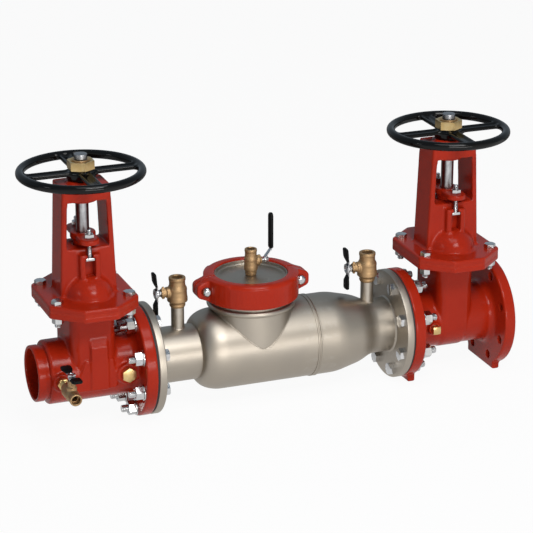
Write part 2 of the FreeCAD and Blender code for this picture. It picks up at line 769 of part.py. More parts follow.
def coupling_half(side):
    """Half of the clamp with its two bolt lugs. Side is -1 at the camera, 1 behind."""
    axis_foot = Vec(tee_x, 0, 0)
    hollow_r = coupling_r - coupling_wall
    ring = turned([(coupling_bottom_z, branch_r + hole_gap, 0), (key_low_z, branch_r + hole_gap, 0),
                   (key_low_z, branch_r - branch_groove_depth + loose, 0),
                   (key_top_z, branch_r - branch_groove_depth + loose, 0), (key_top_z, hollow_r, 0),
                   (upper_key_z, hollow_r, 0), (upper_key_z, mouth_r, 0), (coupling_top_z, mouth_r, 3),
                   (coupling_top_z, coupling_r, 10), (coupling_bottom_z, coupling_r, 4)], axis_foot, Z)
    reach = 2 * coupling_r
    half_gap = coupling_gap / 2
    if side < 0:
        keep = block((tee_x - reach, -reach, 0), (tee_x + reach, -half_gap, 2 * reach))
    else:
        keep = block((tee_x - reach, half_gap, 0), (tee_x + reach, reach, 2 * reach))
    lugs = [coupling_lug(way, side) for way in (-1, 1)]
    holes = []
    for way in (-1, 1):
        at = Vec(tee_x + way * coupling_bolt_x, side * half_gap, lug_mid_z)
        holes.append(bar(coupling_bolt_d / 2 + hole_gap / 2, at, Y * side, lug_t))
        holes.append(bar(lug_pocket_d / 2, at + Y * side * lug_t, Y * side, coupling_r))
    return joined(ring.common(keep), *lugs).cut(holes)


def coupling_bolt(way):
    """Track bolt: domed head at the camera side, shank through both lugs."""
    head_y = -coupling_gap / 2 - lug_t
    start = Vec(tee_x + way * coupling_bolt_x, head_y, lug_mid_z)
    radius = coupling_bolt_d / 2
    length = 2 * lug_t + coupling_gap + 1.4 * coupling_bolt_d
    head_r = 0.75 * coupling_bolt_d
    return turned([(-0.75 * coupling_bolt_d, 0, 0), (-0.75 * coupling_bolt_d, head_r, 0.6 * coupling_bolt_d),
                   (0, head_r, 0), (0, radius, 0), (length, radius, 0), (length, 0, 0)], start, Y)


def access_cover():
    """Dished cover plate with an upstanding rim, drilled for the third test cock."""
    rim_top = coupling_top_z - cover_rim_drop
    rim_r = mouth_r - loose
    flange_top = upper_key_z - loose
    low = branch_top_z + 1
    corners = [(cover_floor_z - 6, 0, 0), (cover_floor_z - 9, rim_r - 9, 8), (low, rim_r - 3, 1),
               (low, branch_r, 1), (flange_top, branch_r, 1), (flange_top, rim_r, 0),
               (rim_top, rim_r, 0.6), (rim_top, rim_r - cover_rim_t, 0.6),
               (cover_floor_z, rim_r - cover_rim_t, cover_corner),
               (cover_floor_z + 0.8 * cover_dome_h, rim_r / 2, cover_dome_r),
               (cover_floor_z + cover_dome_h, 0, 0)]
    plate = turned(corners, Vec(tee_x, 0, 0), Z)
    return plate.cut(bar(small_cock.thread_r + running, Vec(tee_x, 0, low), Z, 2 * cover_floor_z))


def cover_gasket():
    """C-shaped seal round the end of the branch and the cover's rim."""
    inner = branch_r
    outer = coupling_r - coupling_wall - loose
    low = key_top_z + loose
    high = upper_key_z - loose
    lip = 0.15 * (high - low)
    return turned([(low, inner, 0), (low, outer, 3), (high, outer, 3), (high, inner, 0),
                   (high - lip, inner, 0), (high - 1.6 * lip, inner + 5, 0),
                   (low + 1.6 * lip, inner + 5, 0), (low + lip, inner, 0)], Vec(tee_x, 0, 0), Z)


def check_seat(x):
    """Seat ring with a raised lip and two hinge ears."""
    outer_r = barrel_r - housing_wall - loose
    seat_r = seat_bore_d / 2
    face = seat_t + seat_lip_h
    ring = turned([(0, seat_r, 3), (0, outer_r, 0), (seat_t, outer_r, 0), (seat_t, seat_r + 2 * seat_lip, 0),
                   (face, seat_r + seat_lip, 0), (face, seat_r, 0)], Vec(x, 0, 0))
    ears = []
    for side in (-1, 1):
        start = Vec(x + seat_t, side * (knuckle_half + ear_gap), hinge_z)
        reach = hinge_x_ahead - seat_t
        outline = [(0, -knuckle_r, 0), (reach + knuckle_r, -knuckle_r, 0.9 * knuckle_r),
                   (reach + knuckle_r, knuckle_r, 0.9 * knuckle_r), (0, knuckle_r, 0)]
        ear = flat_plate(outline, start, X, Z, Y * side * ear_t)
        ears.append(ear.cut(bar(pin_d / 2, start + X * reach, Y * side, ear_t)))
    return joined(ring, *ears)


def check_disc(x):
    """Rubber facing that closes on the seat lip."""
    start = Vec(x + seat_t + seat_lip_h + loose, 0, 0)
    return bar(disc_d / 2, start, X, disc_t)


def check_clapper(x):
    """Disc holder with its arm and hinge knuckle."""
    plate_x = x + seat_t + seat_lip_h + loose + disc_t
    hinge_x = x + hinge_x_ahead
    disc_r = disc_d / 2
    boss_top_r = clapper_boss_r - clapper_t / 2
    plate = turned([(0, 0, 0), (0, disc_r, 0), (clapper_t, disc_r - 2, 0), (clapper_t, clapper_boss_r, 0),
                    (2 * clapper_t, boss_top_r, 0), (2 * clapper_t, 0, 0)], Vec(plate_x, 0, 0))
    knuckle = bar(knuckle_r, Vec(hinge_x, -knuckle_half, hinge_z), Y, 2 * knuckle_half)
    arm_half = 0.7 * knuckle_half
    outline = [(plate_x - hinge_x, 10 - hinge_z, 0), (plate_x + 1.6 * clapper_t - hinge_x, 10 - hinge_z, 0),
               (knuckle_r, 0, 0), (0.2 * knuckle_r, 0.9 * knuckle_r, 0), (plate_x - hinge_x, 0, 0)]
    arm = flat_plate(outline, Vec(hinge_x, -arm_half, hinge_z), X, Z, Y * 2 * arm_half)
    hole = bar(pin_d / 2 + running, Vec(hinge_x, -knuckle_half, hinge_z), Y, 2 * knuckle_half)
    return joined(plate, knuckle, arm).cut(hole)


def hinge_pin(x):
    """Pin through both ears and the knuckle, long enough to carry the spring."""
    half = knuckle_half + ear_gap + ear_t
    return bar(pin_d / 2, Vec(x + hinge_x_ahead, -half, hinge_z), Y, 2 * half + spring_length + 2)


def check_spring(x):
    """Torsion spring on the pin's free end, with its two legs."""
    start_y = knuckle_half + ear_gap + ear_t + loose
    base = Vec(x + hinge_x_ahead, start_y, hinge_z)
    outer = knuckle_r
    inner = pin_d / 2 + loose
    pitch = (spring_length - 2 * loose) / 4
    corners = [(0, inner, 0)]
    for k in range(4):
        corners += [(k * pitch, outer - 0.8, 0), (k * pitch + pitch / 2, outer, 0)]
    corners += [(4 * pitch, outer - 0.8, 0), (4 * pitch, inner, 0)]
    coil = turned(corners, base, Y)
    leg = 0.7
    seat_leg = block((x + seat_t + loose, start_y, hinge_z + inner + 0.2),
                     (base.x, start_y + 2 * leg, hinge_z + inner + 0.2 + 2 * leg))
    return joined(coil, seat_leg)


class Cock:
    """Small brass ball valve. Flow runs along its own Z, the stem along its own X."""

    def __init__(self, length, centre, body_r, end_r, bore_radius, stem_reach, thread_r):
        """Keep the sizes and work out the ball from the bore."""
        self.length = length
        self.centre = centre
        self.body_r = body_r
        self.end_r = end_r
        self.bore_r = bore_radius
        self.ball_r = 1.35 * bore_radius
        self.stem_reach = stem_reach
        self.stem_r = 0.45 * bore_radius
        self.thread_r = thread_r

    def outline(self):
        """Outline from the foot collar over the bulge and the shoulder to the open end."""
        end = self.end_r
        swell = self.body_r
        steps = [(0, 0, 0), (0, 0.86 * end, 1), (0.08, end, 0.5), (0.16, end, 0), (0.21, swell, 2),
                 (0.35, swell, 0), (0.64, 0.94 * swell, 1.5), (0.74, 0.97 * end, 2),
                 (0.89, 0.97 * end, 0), (0.91, end, 0), (1, end, 1), (1, 0, 0)]
        return [(self.length * along, radius, rounding) for along, radius, rounding in steps]

    def body(self, spigot):
        """Body with a bulge round the ball, a stem boss and socket ends."""
        boss_r = self.stem_r + 4
        boss_end = self.stem_reach - 7
        boss = bar(boss_r, Vec(0, 0, self.centre), X, boss_end)
        ears = block((boss_end - 3 * ear_half_t, -ear_half_t, self.centre - boss_r - ear_proud),
                     (boss_end - ear_half_t, ear_half_t, self.centre + boss_r + ear_proud))
        ring = bar(boss_r + 2.5, Vec(self.body_r - 1, 0, self.centre), X, 4)
        solids = [turned(self.outline(), ORIGIN, Z), boss, ring, ears]
        low = 0
        if spigot:
            solids.append(bar(self.thread_r, Vec(0, 0, -spigot), Z, spigot + 1))
            low = -spigot
        socket = min(0.24 * self.length, self.length - self.centre - self.ball_r - 2)
        cuts = [bar(self.bore_r * 0.8, Vec(0, 0, low), Z, self.length - low),
                bar(self.bore_r, Vec(0, 0, self.length - socket), Z, socket),
                Part.makeSphere(self.ball_r + 2 * running, Vec(0, 0, self.centre)),
                bar(self.stem_r + running, Vec(0, 0, self.centre), X, boss_end)]
        return joined(*solids).cut(cuts)

    def ball(self):
        """Drilled ball with the stem that turns it."""
        sphere = Part.makeSphere(self.ball_r, Vec(0, 0, self.centre))
        through = bar(self.bore_r * 0.8, Vec(0, 0, 0), Z, self.length)
        shaft = bar(self.stem_r, Vec(0.8 * self.ball_r + 1.5, 0, self.centre), X,
                    self.stem_reach + 5 - 0.8 * self.ball_r - 1.5)
        return joined(sphere.cut(through), shaft)

    def nut(self):
        """Nut that holds the handle on the stem."""
        start = Vec(self.stem_reach + 2.5, 0, self.centre)
        return hex_nut(4 * self.stem_r, self.stem_r, start, X, 3.5)

    def butterfly(self):
        """Two-winged handle whose wings lie along the flow when the cock is open."""
        hub_r = 1.7 * self.stem_r + 2
        base = Vec(self.stem_reach, 0, self.centre)
        hub = bar(hub_r, base - X * 1.5, X, wing_t + 1.5)
        front = [(0, -0.7 * wing_half_width, 0), (0.45 * wing_half_span, -0.8 * wing_half_width, 6),
                 (0.6 * wing_half_span, -wing_half_width, 6), (wing_half_span, -wing_half_width, 7),
                 (wing_half_span, wing_half_width, 7), (0.6 * wing_half_span, wing_half_width, 6),
                 (0.45 * wing_half_span, 0.8 * wing_half_width, 6), (0, 0.7 * wing_half_width, 0)]
        bend = 0.3 * wing_half_span
        far = 0.5 * wing_half_span
        side = [(0, 0, 0), (0, bend, 6), (wing_crank, far, 6), (wing_crank, wing_half_span + 1, 0),
                (wing_crank + wing_t, wing_half_span + 1, 0), (wing_crank + wing_t, far, 6),
                (wing_t, bend, 6), (wing_t, 0, 0)]
        wings = []
        for way in (-1, 1):
            face = flat_plate(front, base, Z * way, Y * way, X * (wing_crank + wing_t))
            edge = flat_plate(side, base - Y * wing_half_width, X, Z * way, Y * 2 * wing_half_width)
            wings.append(face.common(edge))
        return joined(hub, *wings).cut(bar(self.stem_r + running, base - X * 2, X, 9))


def side_placement(origin, flow, stem_way):
    """Placement that turns a cock's own Z to flow and its own X to stem_way."""
    third = flow.cross(stem_way)
    matrix = FreeCAD.Matrix(stem_way.x, third.x, flow.x, origin.x,
                            stem_way.y, third.y, flow.y, origin.y,
                            stem_way.z, third.z, flow.z, origin.z, 0, 0, 0, 1)
    return FreeCAD.Placement(matrix)


def placed(shape, placement):
    """Copy of a shape under a placement."""
    return shape.transformed(placement.toMatrix(), True)


# Test cock kinds: riser cocks, the cover cock and the inlet cock
riser_cock = Cock(64, 33, 21.0, 17.2, 11.0, 42.0, 11.0)
small_cock = Cock(56, 29, 14.2, 12.75, 8.0, 30.0, 8.0)
inlet_cock = Cock(70, 40, 14.5, 12.4, 8.7, 38.0, 8.0)


def cover_lever():
    """Cranked lever of the cover cock: eye, slope and upright tang."""
    cock = small_cock
    eye_x = cock.stem_reach
    bend_x = eye_x + lever_offset
    half = lever_width / 2
    eye = bar(half, Vec(eye_x, 0, cock.centre), X, lever_t)
    side = [(eye_x, 0, 0), (eye_x + lever_t, 0, 0), (eye_x + lever_t, 6, 0),
            (bend_x + lever_t, lever_rise, 0), (bend_x + lever_t, grip_top, 0),
            (bend_x, grip_top, 0), (bend_x, lever_rise + 1, 0), (eye_x, 7, 0)]
    blade = flat_plate(side, Vec(0, -half, cock.centre), X, Z, Y * lever_width)
    return joined(eye, blade).cut(bar(cock.stem_r + running, Vec(eye_x, 0, cock.centre), X, lever_t))


def cover_grip():
    """Sleeve over the lever's tang."""
    cock = small_cock
    mid_x = cock.stem_reach + lever_offset + lever_t / 2
    half = lever_width / 2 + 1.5
    low = lever_rise + 2
    high = grip_top + 3
    outline = [(-half, low, 3), (half, low, 3), (half, high, half - 0.2), (-half, high, half - 0.2)]
    body = flat_plate(outline, Vec(mid_x - grip_t / 2, 0, cock.centre), Y, Z, X * grip_t)
    slot = block((mid_x - lever_t / 2 - running, -lever_width / 2 - running, 0),
                 (mid_x + lever_t / 2 + running, lever_width / 2 + running, cock.centre + grip_top + running))
    return body.cut(slot)


def body_plug(x, across_flats):
    """Hexagon-headed pipe plug in a side boss."""
    start = Vec(x, -boss_reach, 0)
    head = hexagon(across_flats, start, -Y, plug_head_t)
    return joined(head, bar(plug_thread_share * across_flats, start, Y, boss_reach - bore_r - 2))


def riser(x):
    """Nipple saddled on the pipe, below a riser cock."""
    tube = bar(riser_od / 2, Vec(x, 0, bore_r), Z, riser_top_z - bore_r)
    bead = turned([(pipe_r - 2, 0, 0), (pipe_r - 2, riser_od / 2 + 3, 0), (pipe_r + 2, riser_od / 2 + 3, 2),
                   (pipe_r + 2, 0, 0)], Vec(x, 0, 0), Z)
    pipe = turned(pipe_profile(0))
    return joined(tube, bead).cut([pipe, bar(riser_bore_d / 2, Vec(x, 0, 0), Z, riser_top_z)])


def inlet_nipple():
    """Hexagon nipple between the inlet body's boss and the first test cock."""
    start = Vec(cock_1_x, -boss_reach, 0)
    nut = hexagon(nipple_af, start, -Y, nipple_nut_t)
    rod = bar(cock_thread_r, start + Y * 12, -Y, 12 + cock_nipple_length)
    return joined(nut, rod).cut(bar(0.6 * cock_thread_r, start + Y * 12, -Y, 12 + cock_nipple_length))


def write_gate_valve(name, stem_x, body):
    """Write the pieces of one gate valve."""
    pieces = {"valve_body": body, "bonnet": bonnet(), "gland": gland(), "stem": stem(),
              "wedge": wedge(), "handwheel": handwheel(), "yoke_sleeve": yoke_sleeve(),
              "wheel_nut": wheel_nut()}
    for piece, shape in pieces.items():
        save(name + "_" + piece, moved(shape, stem_x))


def bonnet_bolt_set(stem_x):
    """Bolts and nuts round one bonnet joint."""
    head_t = 0.6 * bonnet_bolt_d
    length = bonnet_flange_t + bonnet_gasket_t + body_flange_t + 1.45 * bonnet_bolt_d
    low = body_top_z - body_flange_t
    bolts = []
    nuts = []
    for x in (-bonnet_bolt_x, bonnet_bolt_x):
        for y in (-bonnet_bolt_y, bonnet_bolt_y):
            top = Vec(stem_x + x, y, bonnet_flange_top_z)
            bolts.append(hex_bolt(1.5 * bonnet_bolt_d, head_t, bonnet_bolt_d / 2, top, -Z, length))
            under = Vec(stem_x + x, y, low)
            nuts.append(hex_nut(1.5 * bonnet_bolt_d, bonnet_bolt_d / 2, under, -Z, 0.85 * bonnet_bolt_d))
    return bolts, nuts


def flange_bolt_set(steel_x, iron_x, axis):
    """Bolts, nuts and washers of one flange joint. The heads stand at steel_x."""
    washer_t = 2.5
    nut_t = flange_bolt_d
    grip = abs(steel_x - iron_x)
    bolts = []
    nuts = []
    washers = []
    for k in range(flange_bolt_count):
        angle = 2 * math.pi * (k + 0.5) / flange_bolt_count
        y = bolt_circle_d / 2 * math.cos(angle)
        z = bolt_circle_d / 2 * math.sin(angle)
        radius = flange_bolt_d / 2
        bolts.append(hex_bolt(1.5 * flange_bolt_d, 10, radius, Vec(steel_x, y, z), axis,
                              grip + washer_t + nut_t + 0.8 * flange_bolt_d))
        start = Vec(iron_x, y, z)
        disc = bar(1.04 * flange_bolt_d, start, axis, washer_t)
        washers.append(disc.cut(bar(radius + loose, start, axis, washer_t)))
        nuts.append(hex_nut(1.6 * flange_bolt_d, radius, start + axis * washer_t, axis, nut_t))
    return bolts, nuts, washers


def bonnet_gasket(stem_x):
    """Sheet gasket in the bonnet joint, cut out round the wedge space."""
    sheet = octagon(body_top_z, bonnet_gasket_t, 2)
    room = rounded_box(wedge_half_t + wedge_gap, wedge_radius + wedge_gap, wedge_round,
                       body_top_z, bonnet_z)
    holes = bonnet_bars(bonnet_bolt_d / 2 + hole_gap, body_top_z, bonnet_gasket_t)
    return moved(sheet.cut([room] + holes), stem_x)


def write_valve_groups():
    """Write the pieces that both gate valves share in kind."""
    stems = (inlet_stem_x, outlet_stem_x)
    bolts = []
    nuts = []
    for stem_x in stems:
        more_bolts, more_nuts = bonnet_bolt_set(stem_x)
        bolts += more_bolts
        nuts += more_nuts
    save("bonnet_bolts", *bolts)
    save("bonnet_nuts", *nuts)
    save("bonnet_gaskets", *[bonnet_gasket(stem_x) for stem_x in stems])
    save("gland_packing", *[moved(packing(), stem_x) for stem_x in stems])
    hooks = []
    hook_nuts = []
    for stem_x in stems:
        for side in (-1, 1):
            hooks.append(moved(gland_bolt(side), stem_x))
            at = Vec(stem_x, side * gland_bolt_pitch / 2, gland_plate_z + gland_plate_t)
            hook_nuts.append(hex_nut(1.7 * gland_bolt_d, gland_bolt_d / 2, at, Z, 0.9 * gland_bolt_d))
    save("gland_bolts", *hooks)
    save("gland_nuts", *hook_nuts)
    save("body_plugs", body_plug(inlet_stem_x + inlet_plug_offset, inlet_plug_af),
         body_plug(outlet_stem_x + outlet_plug_offset, outlet_plug_af))


def write_flange_joints():
    """Write the housing's flanges and both bolted joints."""
    save("housing_inlet_flange", steel_flange(housing_x))
    save("housing_outlet_flange", steel_flange(housing_end_x - steel_flange_t))
    save("flange_gaskets", flange_gasket(valve_length), flange_gasket(housing_end_x))
    left = flange_bolt_set(housing_x + steel_flange_t, valve_length - iron_flange_t, -X)
    right = flange_bolt_set(housing_end_x - steel_flange_t, outlet_x + iron_flange_t, X)
    for name, first, second in zip(("flange_bolts", "flange_nuts", "flange_washers"), left, right):
        save(name, *first, *second)


def write_cover():
    """Write the cover, its seal and its clamp."""
    save("access_cover", access_cover())
    save("cover_gasket", cover_gasket())
    save("coupling_front_half", coupling_half(-1))
    save("coupling_rear_half", coupling_half(1))
    save("coupling_bolts", coupling_bolt(-1), coupling_bolt(1))
    back_y = coupling_gap / 2 + lug_t
    nuts = []
    for way in (-1, 1):
        at = Vec(tee_x + way * coupling_bolt_x, back_y, lug_mid_z)
        nuts.append(hex_nut(1.5 * coupling_bolt_d, coupling_bolt_d / 2, at, Y, 0.85 * coupling_bolt_d, Z))
    save("coupling_nuts", *nuts)


def write_checks():
    """Write both check valves."""
    for number, x in ((1, check_1_x), (2, check_2_x)):
        prefix = "check_" + str(number)
        save(prefix + "_seat", check_seat(x))
        save(prefix + "_clapper", check_clapper(x))
        save(prefix + "_disc", check_disc(x))
        save(prefix + "_spring", check_spring(x))
    save("check_hinge_pins", hinge_pin(check_1_x), hinge_pin(check_2_x))


def write_cock(number, cock, placement, spigot, handle_solids):
    """Write body, ball and handle of one test cock."""
    prefix = "test_cock_" + str(number)
    save(prefix + "_body", placed(cock.body(spigot), placement))
    save(prefix + "_ball", placed(cock.ball(), placement))
    save(prefix + "_handle", *[placed(solid, placement) for solid in handle_solids])


def write_cocks():
    """Write the four test cocks and what carries them."""
    save("riser_nipples", riser(riser_2_x), riser(riser_4_x))
    save("inlet_test_nipple", inlet_nipple())
    for number, x in ((2, riser_2_x), (4, riser_4_x)):
        place = side_placement(Vec(x, 0, riser_top_z), Z, -X)
        write_cock(number, riser_cock, place, 0, [riser_cock.butterfly(), riser_cock.nut()])
    inlet_place = side_placement(Vec(cock_1_x, -boss_reach - cock_nipple_length, 0), -Y, Z)
    write_cock(1, inlet_cock, inlet_place, 0, [inlet_cock.butterfly(), inlet_cock.nut()])
    cover_place = side_placement(Vec(tee_x, 0, cover_floor_z + cover_dome_h), Z, X)
    write_cock(3, small_cock, cover_place, cock_spigot, [cover_lever(), small_cock.nut()])
    save("test_cock_3_grip", placed(cover_grip(), cover_place))


def main():
    """Write every piece of the assembly."""
    os.makedirs("parts", exist_ok=True)
    inlet_body = valve_body(inlet_barrel_d / 2, inlet_neck_half_x, True, inlet_plug_offset,
                            inlet_plug_boss_d, inlet_plug_af)
    outlet_body = valve_body(outlet_barrel_d / 2, outlet_neck_half_x, False, outlet_plug_offset,
                             outlet_plug_boss_d, outlet_plug_af)
    write_gate_valve("inlet", inlet_stem_x, inlet_body)
    write_gate_valve("outlet", outlet_stem_x, outlet_body)
    write_valve_groups()
    save("housing", housing())
    write_flange_joints()
    write_cover()
    write_checks()
    write_cocks()


main()
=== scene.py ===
"""Dressed scene of a four inch double check backflow assembly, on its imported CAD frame.

Metres in the frame's own axes: +X is the flow, +Z is up and the camera side is -Y. The origin is
the centre of the inlet end face.
"""
import json
import logging
import math
from dataclasses import dataclass, field
from enum import Enum
from typing import Sequence

import bmesh
import bpy
from mathutils import Matrix, Vector

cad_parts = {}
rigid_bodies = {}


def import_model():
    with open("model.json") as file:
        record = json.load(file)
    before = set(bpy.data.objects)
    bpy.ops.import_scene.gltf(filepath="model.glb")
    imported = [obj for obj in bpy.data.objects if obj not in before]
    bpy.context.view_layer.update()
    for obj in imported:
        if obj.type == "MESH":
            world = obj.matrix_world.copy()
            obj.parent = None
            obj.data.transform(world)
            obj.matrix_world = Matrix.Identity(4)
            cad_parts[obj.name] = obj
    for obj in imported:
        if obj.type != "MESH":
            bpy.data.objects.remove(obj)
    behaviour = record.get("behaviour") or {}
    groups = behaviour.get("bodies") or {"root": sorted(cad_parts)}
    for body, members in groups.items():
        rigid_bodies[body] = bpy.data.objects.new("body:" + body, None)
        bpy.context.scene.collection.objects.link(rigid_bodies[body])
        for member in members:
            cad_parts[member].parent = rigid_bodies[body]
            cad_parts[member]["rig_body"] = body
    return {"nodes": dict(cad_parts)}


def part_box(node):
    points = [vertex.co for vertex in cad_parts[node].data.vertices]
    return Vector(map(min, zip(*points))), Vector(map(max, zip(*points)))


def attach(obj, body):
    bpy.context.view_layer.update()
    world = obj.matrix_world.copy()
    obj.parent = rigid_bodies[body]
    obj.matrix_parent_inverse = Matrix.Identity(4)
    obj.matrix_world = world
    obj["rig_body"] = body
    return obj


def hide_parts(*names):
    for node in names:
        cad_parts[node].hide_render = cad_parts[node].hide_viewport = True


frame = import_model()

LOG = logging.getLogger("backflow_assembly")
MM = 0.001
X = Vector((1, 0, 0))
Y = Vector((0, 1, 0))
Z = Vector((0, 0, 1))
ORIGIN = Vector((0, 0, 0))
SMOOTH_ANGLE = math.radians(32)
DUST_COLOUR = (0.42, 0.39, 0.35, 1)
WHITE = (1, 1, 1, 1)
TEE_X = 466 * MM
BOLT_CIRCLE = 95.25 * MM
SIDES = (-1, 1)
Corner = tuple[float, float, float]


class Grain(Enum):
    """How the surface of a finish is worked, as noise stretch along X, Y and Z."""

    PAINTED = (1.0, 1.0, 1.0)
    CAST = (1.3, 1.0, 1.0)
    ROLLED = (0.05, 1.0, 1.0)
    TURNED = (1.0, 1.0, 0.08)
    MOULDED = (0.7, 1.0, 0.7)


class Layout(Enum):
    """How a set of fasteners is laid out."""

    CIRCLE = "circle"
    ROWS = "rows"


class Graph:
    """A shader or geometry node tree that is being built."""

    def __init__(self, tree: bpy.types.NodeTree) -> None:
        """Keep the tree."""
        self.tree = tree

    @classmethod
    def cleared(cls, owner: bpy.types.ID) -> "Graph":
        """Start afresh on the tree of a material or world.

        Args:
            owner: The material or world.

        Returns:
            The graph of its emptied tree.
        """
        owner.use_nodes = True
        owner.node_tree.nodes.clear()
        return cls(owner.node_tree)

    @classmethod
    def group(cls, name: str, kind: str, inputs: dict[str, object], output: str) -> tuple["Graph", object]:
        """Start a node group.

        Args:
            name: Name of the group.
            kind: ShaderNodeTree or GeometryNodeTree.
            inputs: By name, the number that an input starts from, or else its socket type.
            output: Name of the output, a number unless an input has the same name.

        Returns:
            The graph and its input sockets by name.
        """
        graph = cls(bpy.data.node_groups.new(name, kind))
        numbers = {float: "NodeSocketFloat", int: "NodeSocketInt"}
        for label, value in inputs.items():
            socket_type = numbers.get(type(value), value)
            item = graph.tree.interface.new_socket(label, in_out="INPUT", socket_type=socket_type)
            if type(value) in numbers:
                item.default_value = value
        graph.tree.interface.new_socket(output, in_out="OUTPUT",
            socket_type=inputs.get(output, "NodeSocketFloat"))
        return graph, graph.make("NodeGroupInput").outputs

    def ended(self, result: object) -> bpy.types.NodeTree:
        """Give the group its result and return its tree."""
        self.make("NodeGroupOutput", {0: result})
        return self.tree

    def make(self, kind: str, inputs: dict | None = None, **settings) -> bpy.types.Node:
        """Add a node, set its options and feed its inputs.

        Args:
            kind: Blender's name of the node type.
            inputs: Values, output sockets or nodes by input name or index.
            settings: Options set on the node itself.

        Returns:
            The new node.
        """
        node = self.tree.nodes.new(kind)
        for name, value in settings.items():
            setattr(node, name, value)
        for key, value in (inputs or {}).items():
            if isinstance(value, bpy.types.Node):
                value = value.outputs[0]
            if isinstance(value, bpy.types.NodeSocket):
                self.tree.links.new(value, node.inputs[key])
            else:
                node.inputs[key].default_value = value
        return node

    def math(self, operation: str, first: object, second: object = 0.0) -> bpy.types.NodeSocket:
        """Add a Math node and return its output."""
        return self.make("ShaderNodeMath", {0: first, 1: second}, operation=operation).outputs[0]

    def ramp(self, value: object, span: tuple[float, float],
             onto: tuple[float, float] = (0.0, 1.0)) -> bpy.types.Node:
        """Map one range of a value onto another."""
        return self.make("ShaderNodeMapRange", {"Value": value, "From Min": span[0], "From Max": span[1],
                                                "To Min": onto[0], "To Max": onto[1]})

    def mix(self, share: object, first: object, second: object) -> bpy.types.Node:
        """Mix two numbers."""
        return self.make("ShaderNodeMix", {0: share, 2: first, 3: second})

    def blend(self, share: object, first: object, second: object) -> bpy.types.NodeSocket:
        """Mix two colours."""
        return self.make("ShaderNodeMix", {0: share, 6: first, 7: second}, data_type="RGBA").outputs[2]

    def noise(self, scale: object, detail: float, stretch: object = None,
              rough: float = 0.5) -> bpy.types.Node:
        """Add noise in the object's own coordinates.

        Args:
            scale: Scale of the noise.
            detail: Octaves of the noise.
            stretch: Factors along the three axes, if any.
            rough: How strong the fine octaves are.

        Returns:
            The noise node.
        """
        place = self.make("ShaderNodeTexCoord").outputs["Object"]
        if stretch:
            place = self.make("ShaderNodeVectorMath", {0: place, 1: stretch}, operation="MULTIPLY")
        return self.make("ShaderNodeTexNoise", {"Vector": place, "Scale": scale, "Detail": detail,
                                                "Roughness": rough})


class SurfaceEffects:
    """Shader node groups that the finishes share."""

    def __init__(self) -> None:
        """Build each group once."""
        self.mottle = self._mottle()
        self.grain = self._grain()
        self.wear = self._wear()
        self.dust = self._dust()

    @staticmethod
    def _mottle() -> bpy.types.NodeTree:
        """Slow cloudy variation across a surface.

        Returns:
            The group.
        """
        graph, given = Graph.group("Mottle", "ShaderNodeTree", {"Scale": 20.0, "Contrast": 1.0}, "Cloud")
        centred = graph.math("SUBTRACT", graph.noise(given["Scale"], 4.0), 0.5)
        return graph.ended(graph.math("ADD", graph.math("MULTIPLY", centred, given["Contrast"]), 0.5))

    @staticmethod
    def _grain() -> bpy.types.NodeTree:
        """Fine height, stretched along one axis for rolled or turned metal.

        Returns:
            The group.
        """
        sizes = {"Scale": 900.0, "Along X": 1.0, "Along Y": 1.0, "Along Z": 1.0}
        graph, given = Graph.group("Fine Grain", "ShaderNodeTree", sizes, "Height")
        stretch = graph.make("ShaderNodeCombineXYZ", {k: given[k + 1] for k in range(3)})
        return graph.ended(graph.noise(given["Scale"], 3.0, stretch, 0.6))

    @staticmethod
    def _wear() -> bpy.types.NodeTree:
        """Mask on outward edges, broken up by noise: real wear on the metals, and a painted edge highlight
        on the red paint, whose edge tone is a lighter red.

        Returns:
            The group.
        """
        graph, given = Graph.group("Edge Wear And Highlight", "ShaderNodeTree", {"Amount": 0.5, "Breakup": 120.0}, "Mask")
        sharp = graph.make("ShaderNodeNewGeometry").outputs["Pointiness"]
        broken = graph.ramp(graph.noise(given["Breakup"], 5.0), (0.4, 0.65))
        mask = graph.math("MULTIPLY", graph.ramp(sharp, (0.52, 0.60)), broken)
        return graph.ended(graph.math("MULTIPLY", mask, given["Amount"]))

    @staticmethod
    def _dust() -> bpy.types.NodeTree:
        """Mask on surfaces that face up, where dust settles.

        Returns:
            The group.
        """
        graph, given = Graph.group("Settled Dust", "ShaderNodeTree", {"Amount": 0.2, "Scale": 40.0}, "Mask")
        normal = graph.make("ShaderNodeNewGeometry").outputs["Normal"]
        up = graph.make("ShaderNodeSeparateXYZ", {0: normal}).outputs["Z"]
        patch = graph.math("MULTIPLY", graph.ramp(up, (0.55, 1.0)), graph.noise(given["Scale"], 6.0))
        return graph.ended(graph.math("MULTIPLY", patch, given["Amount"]))


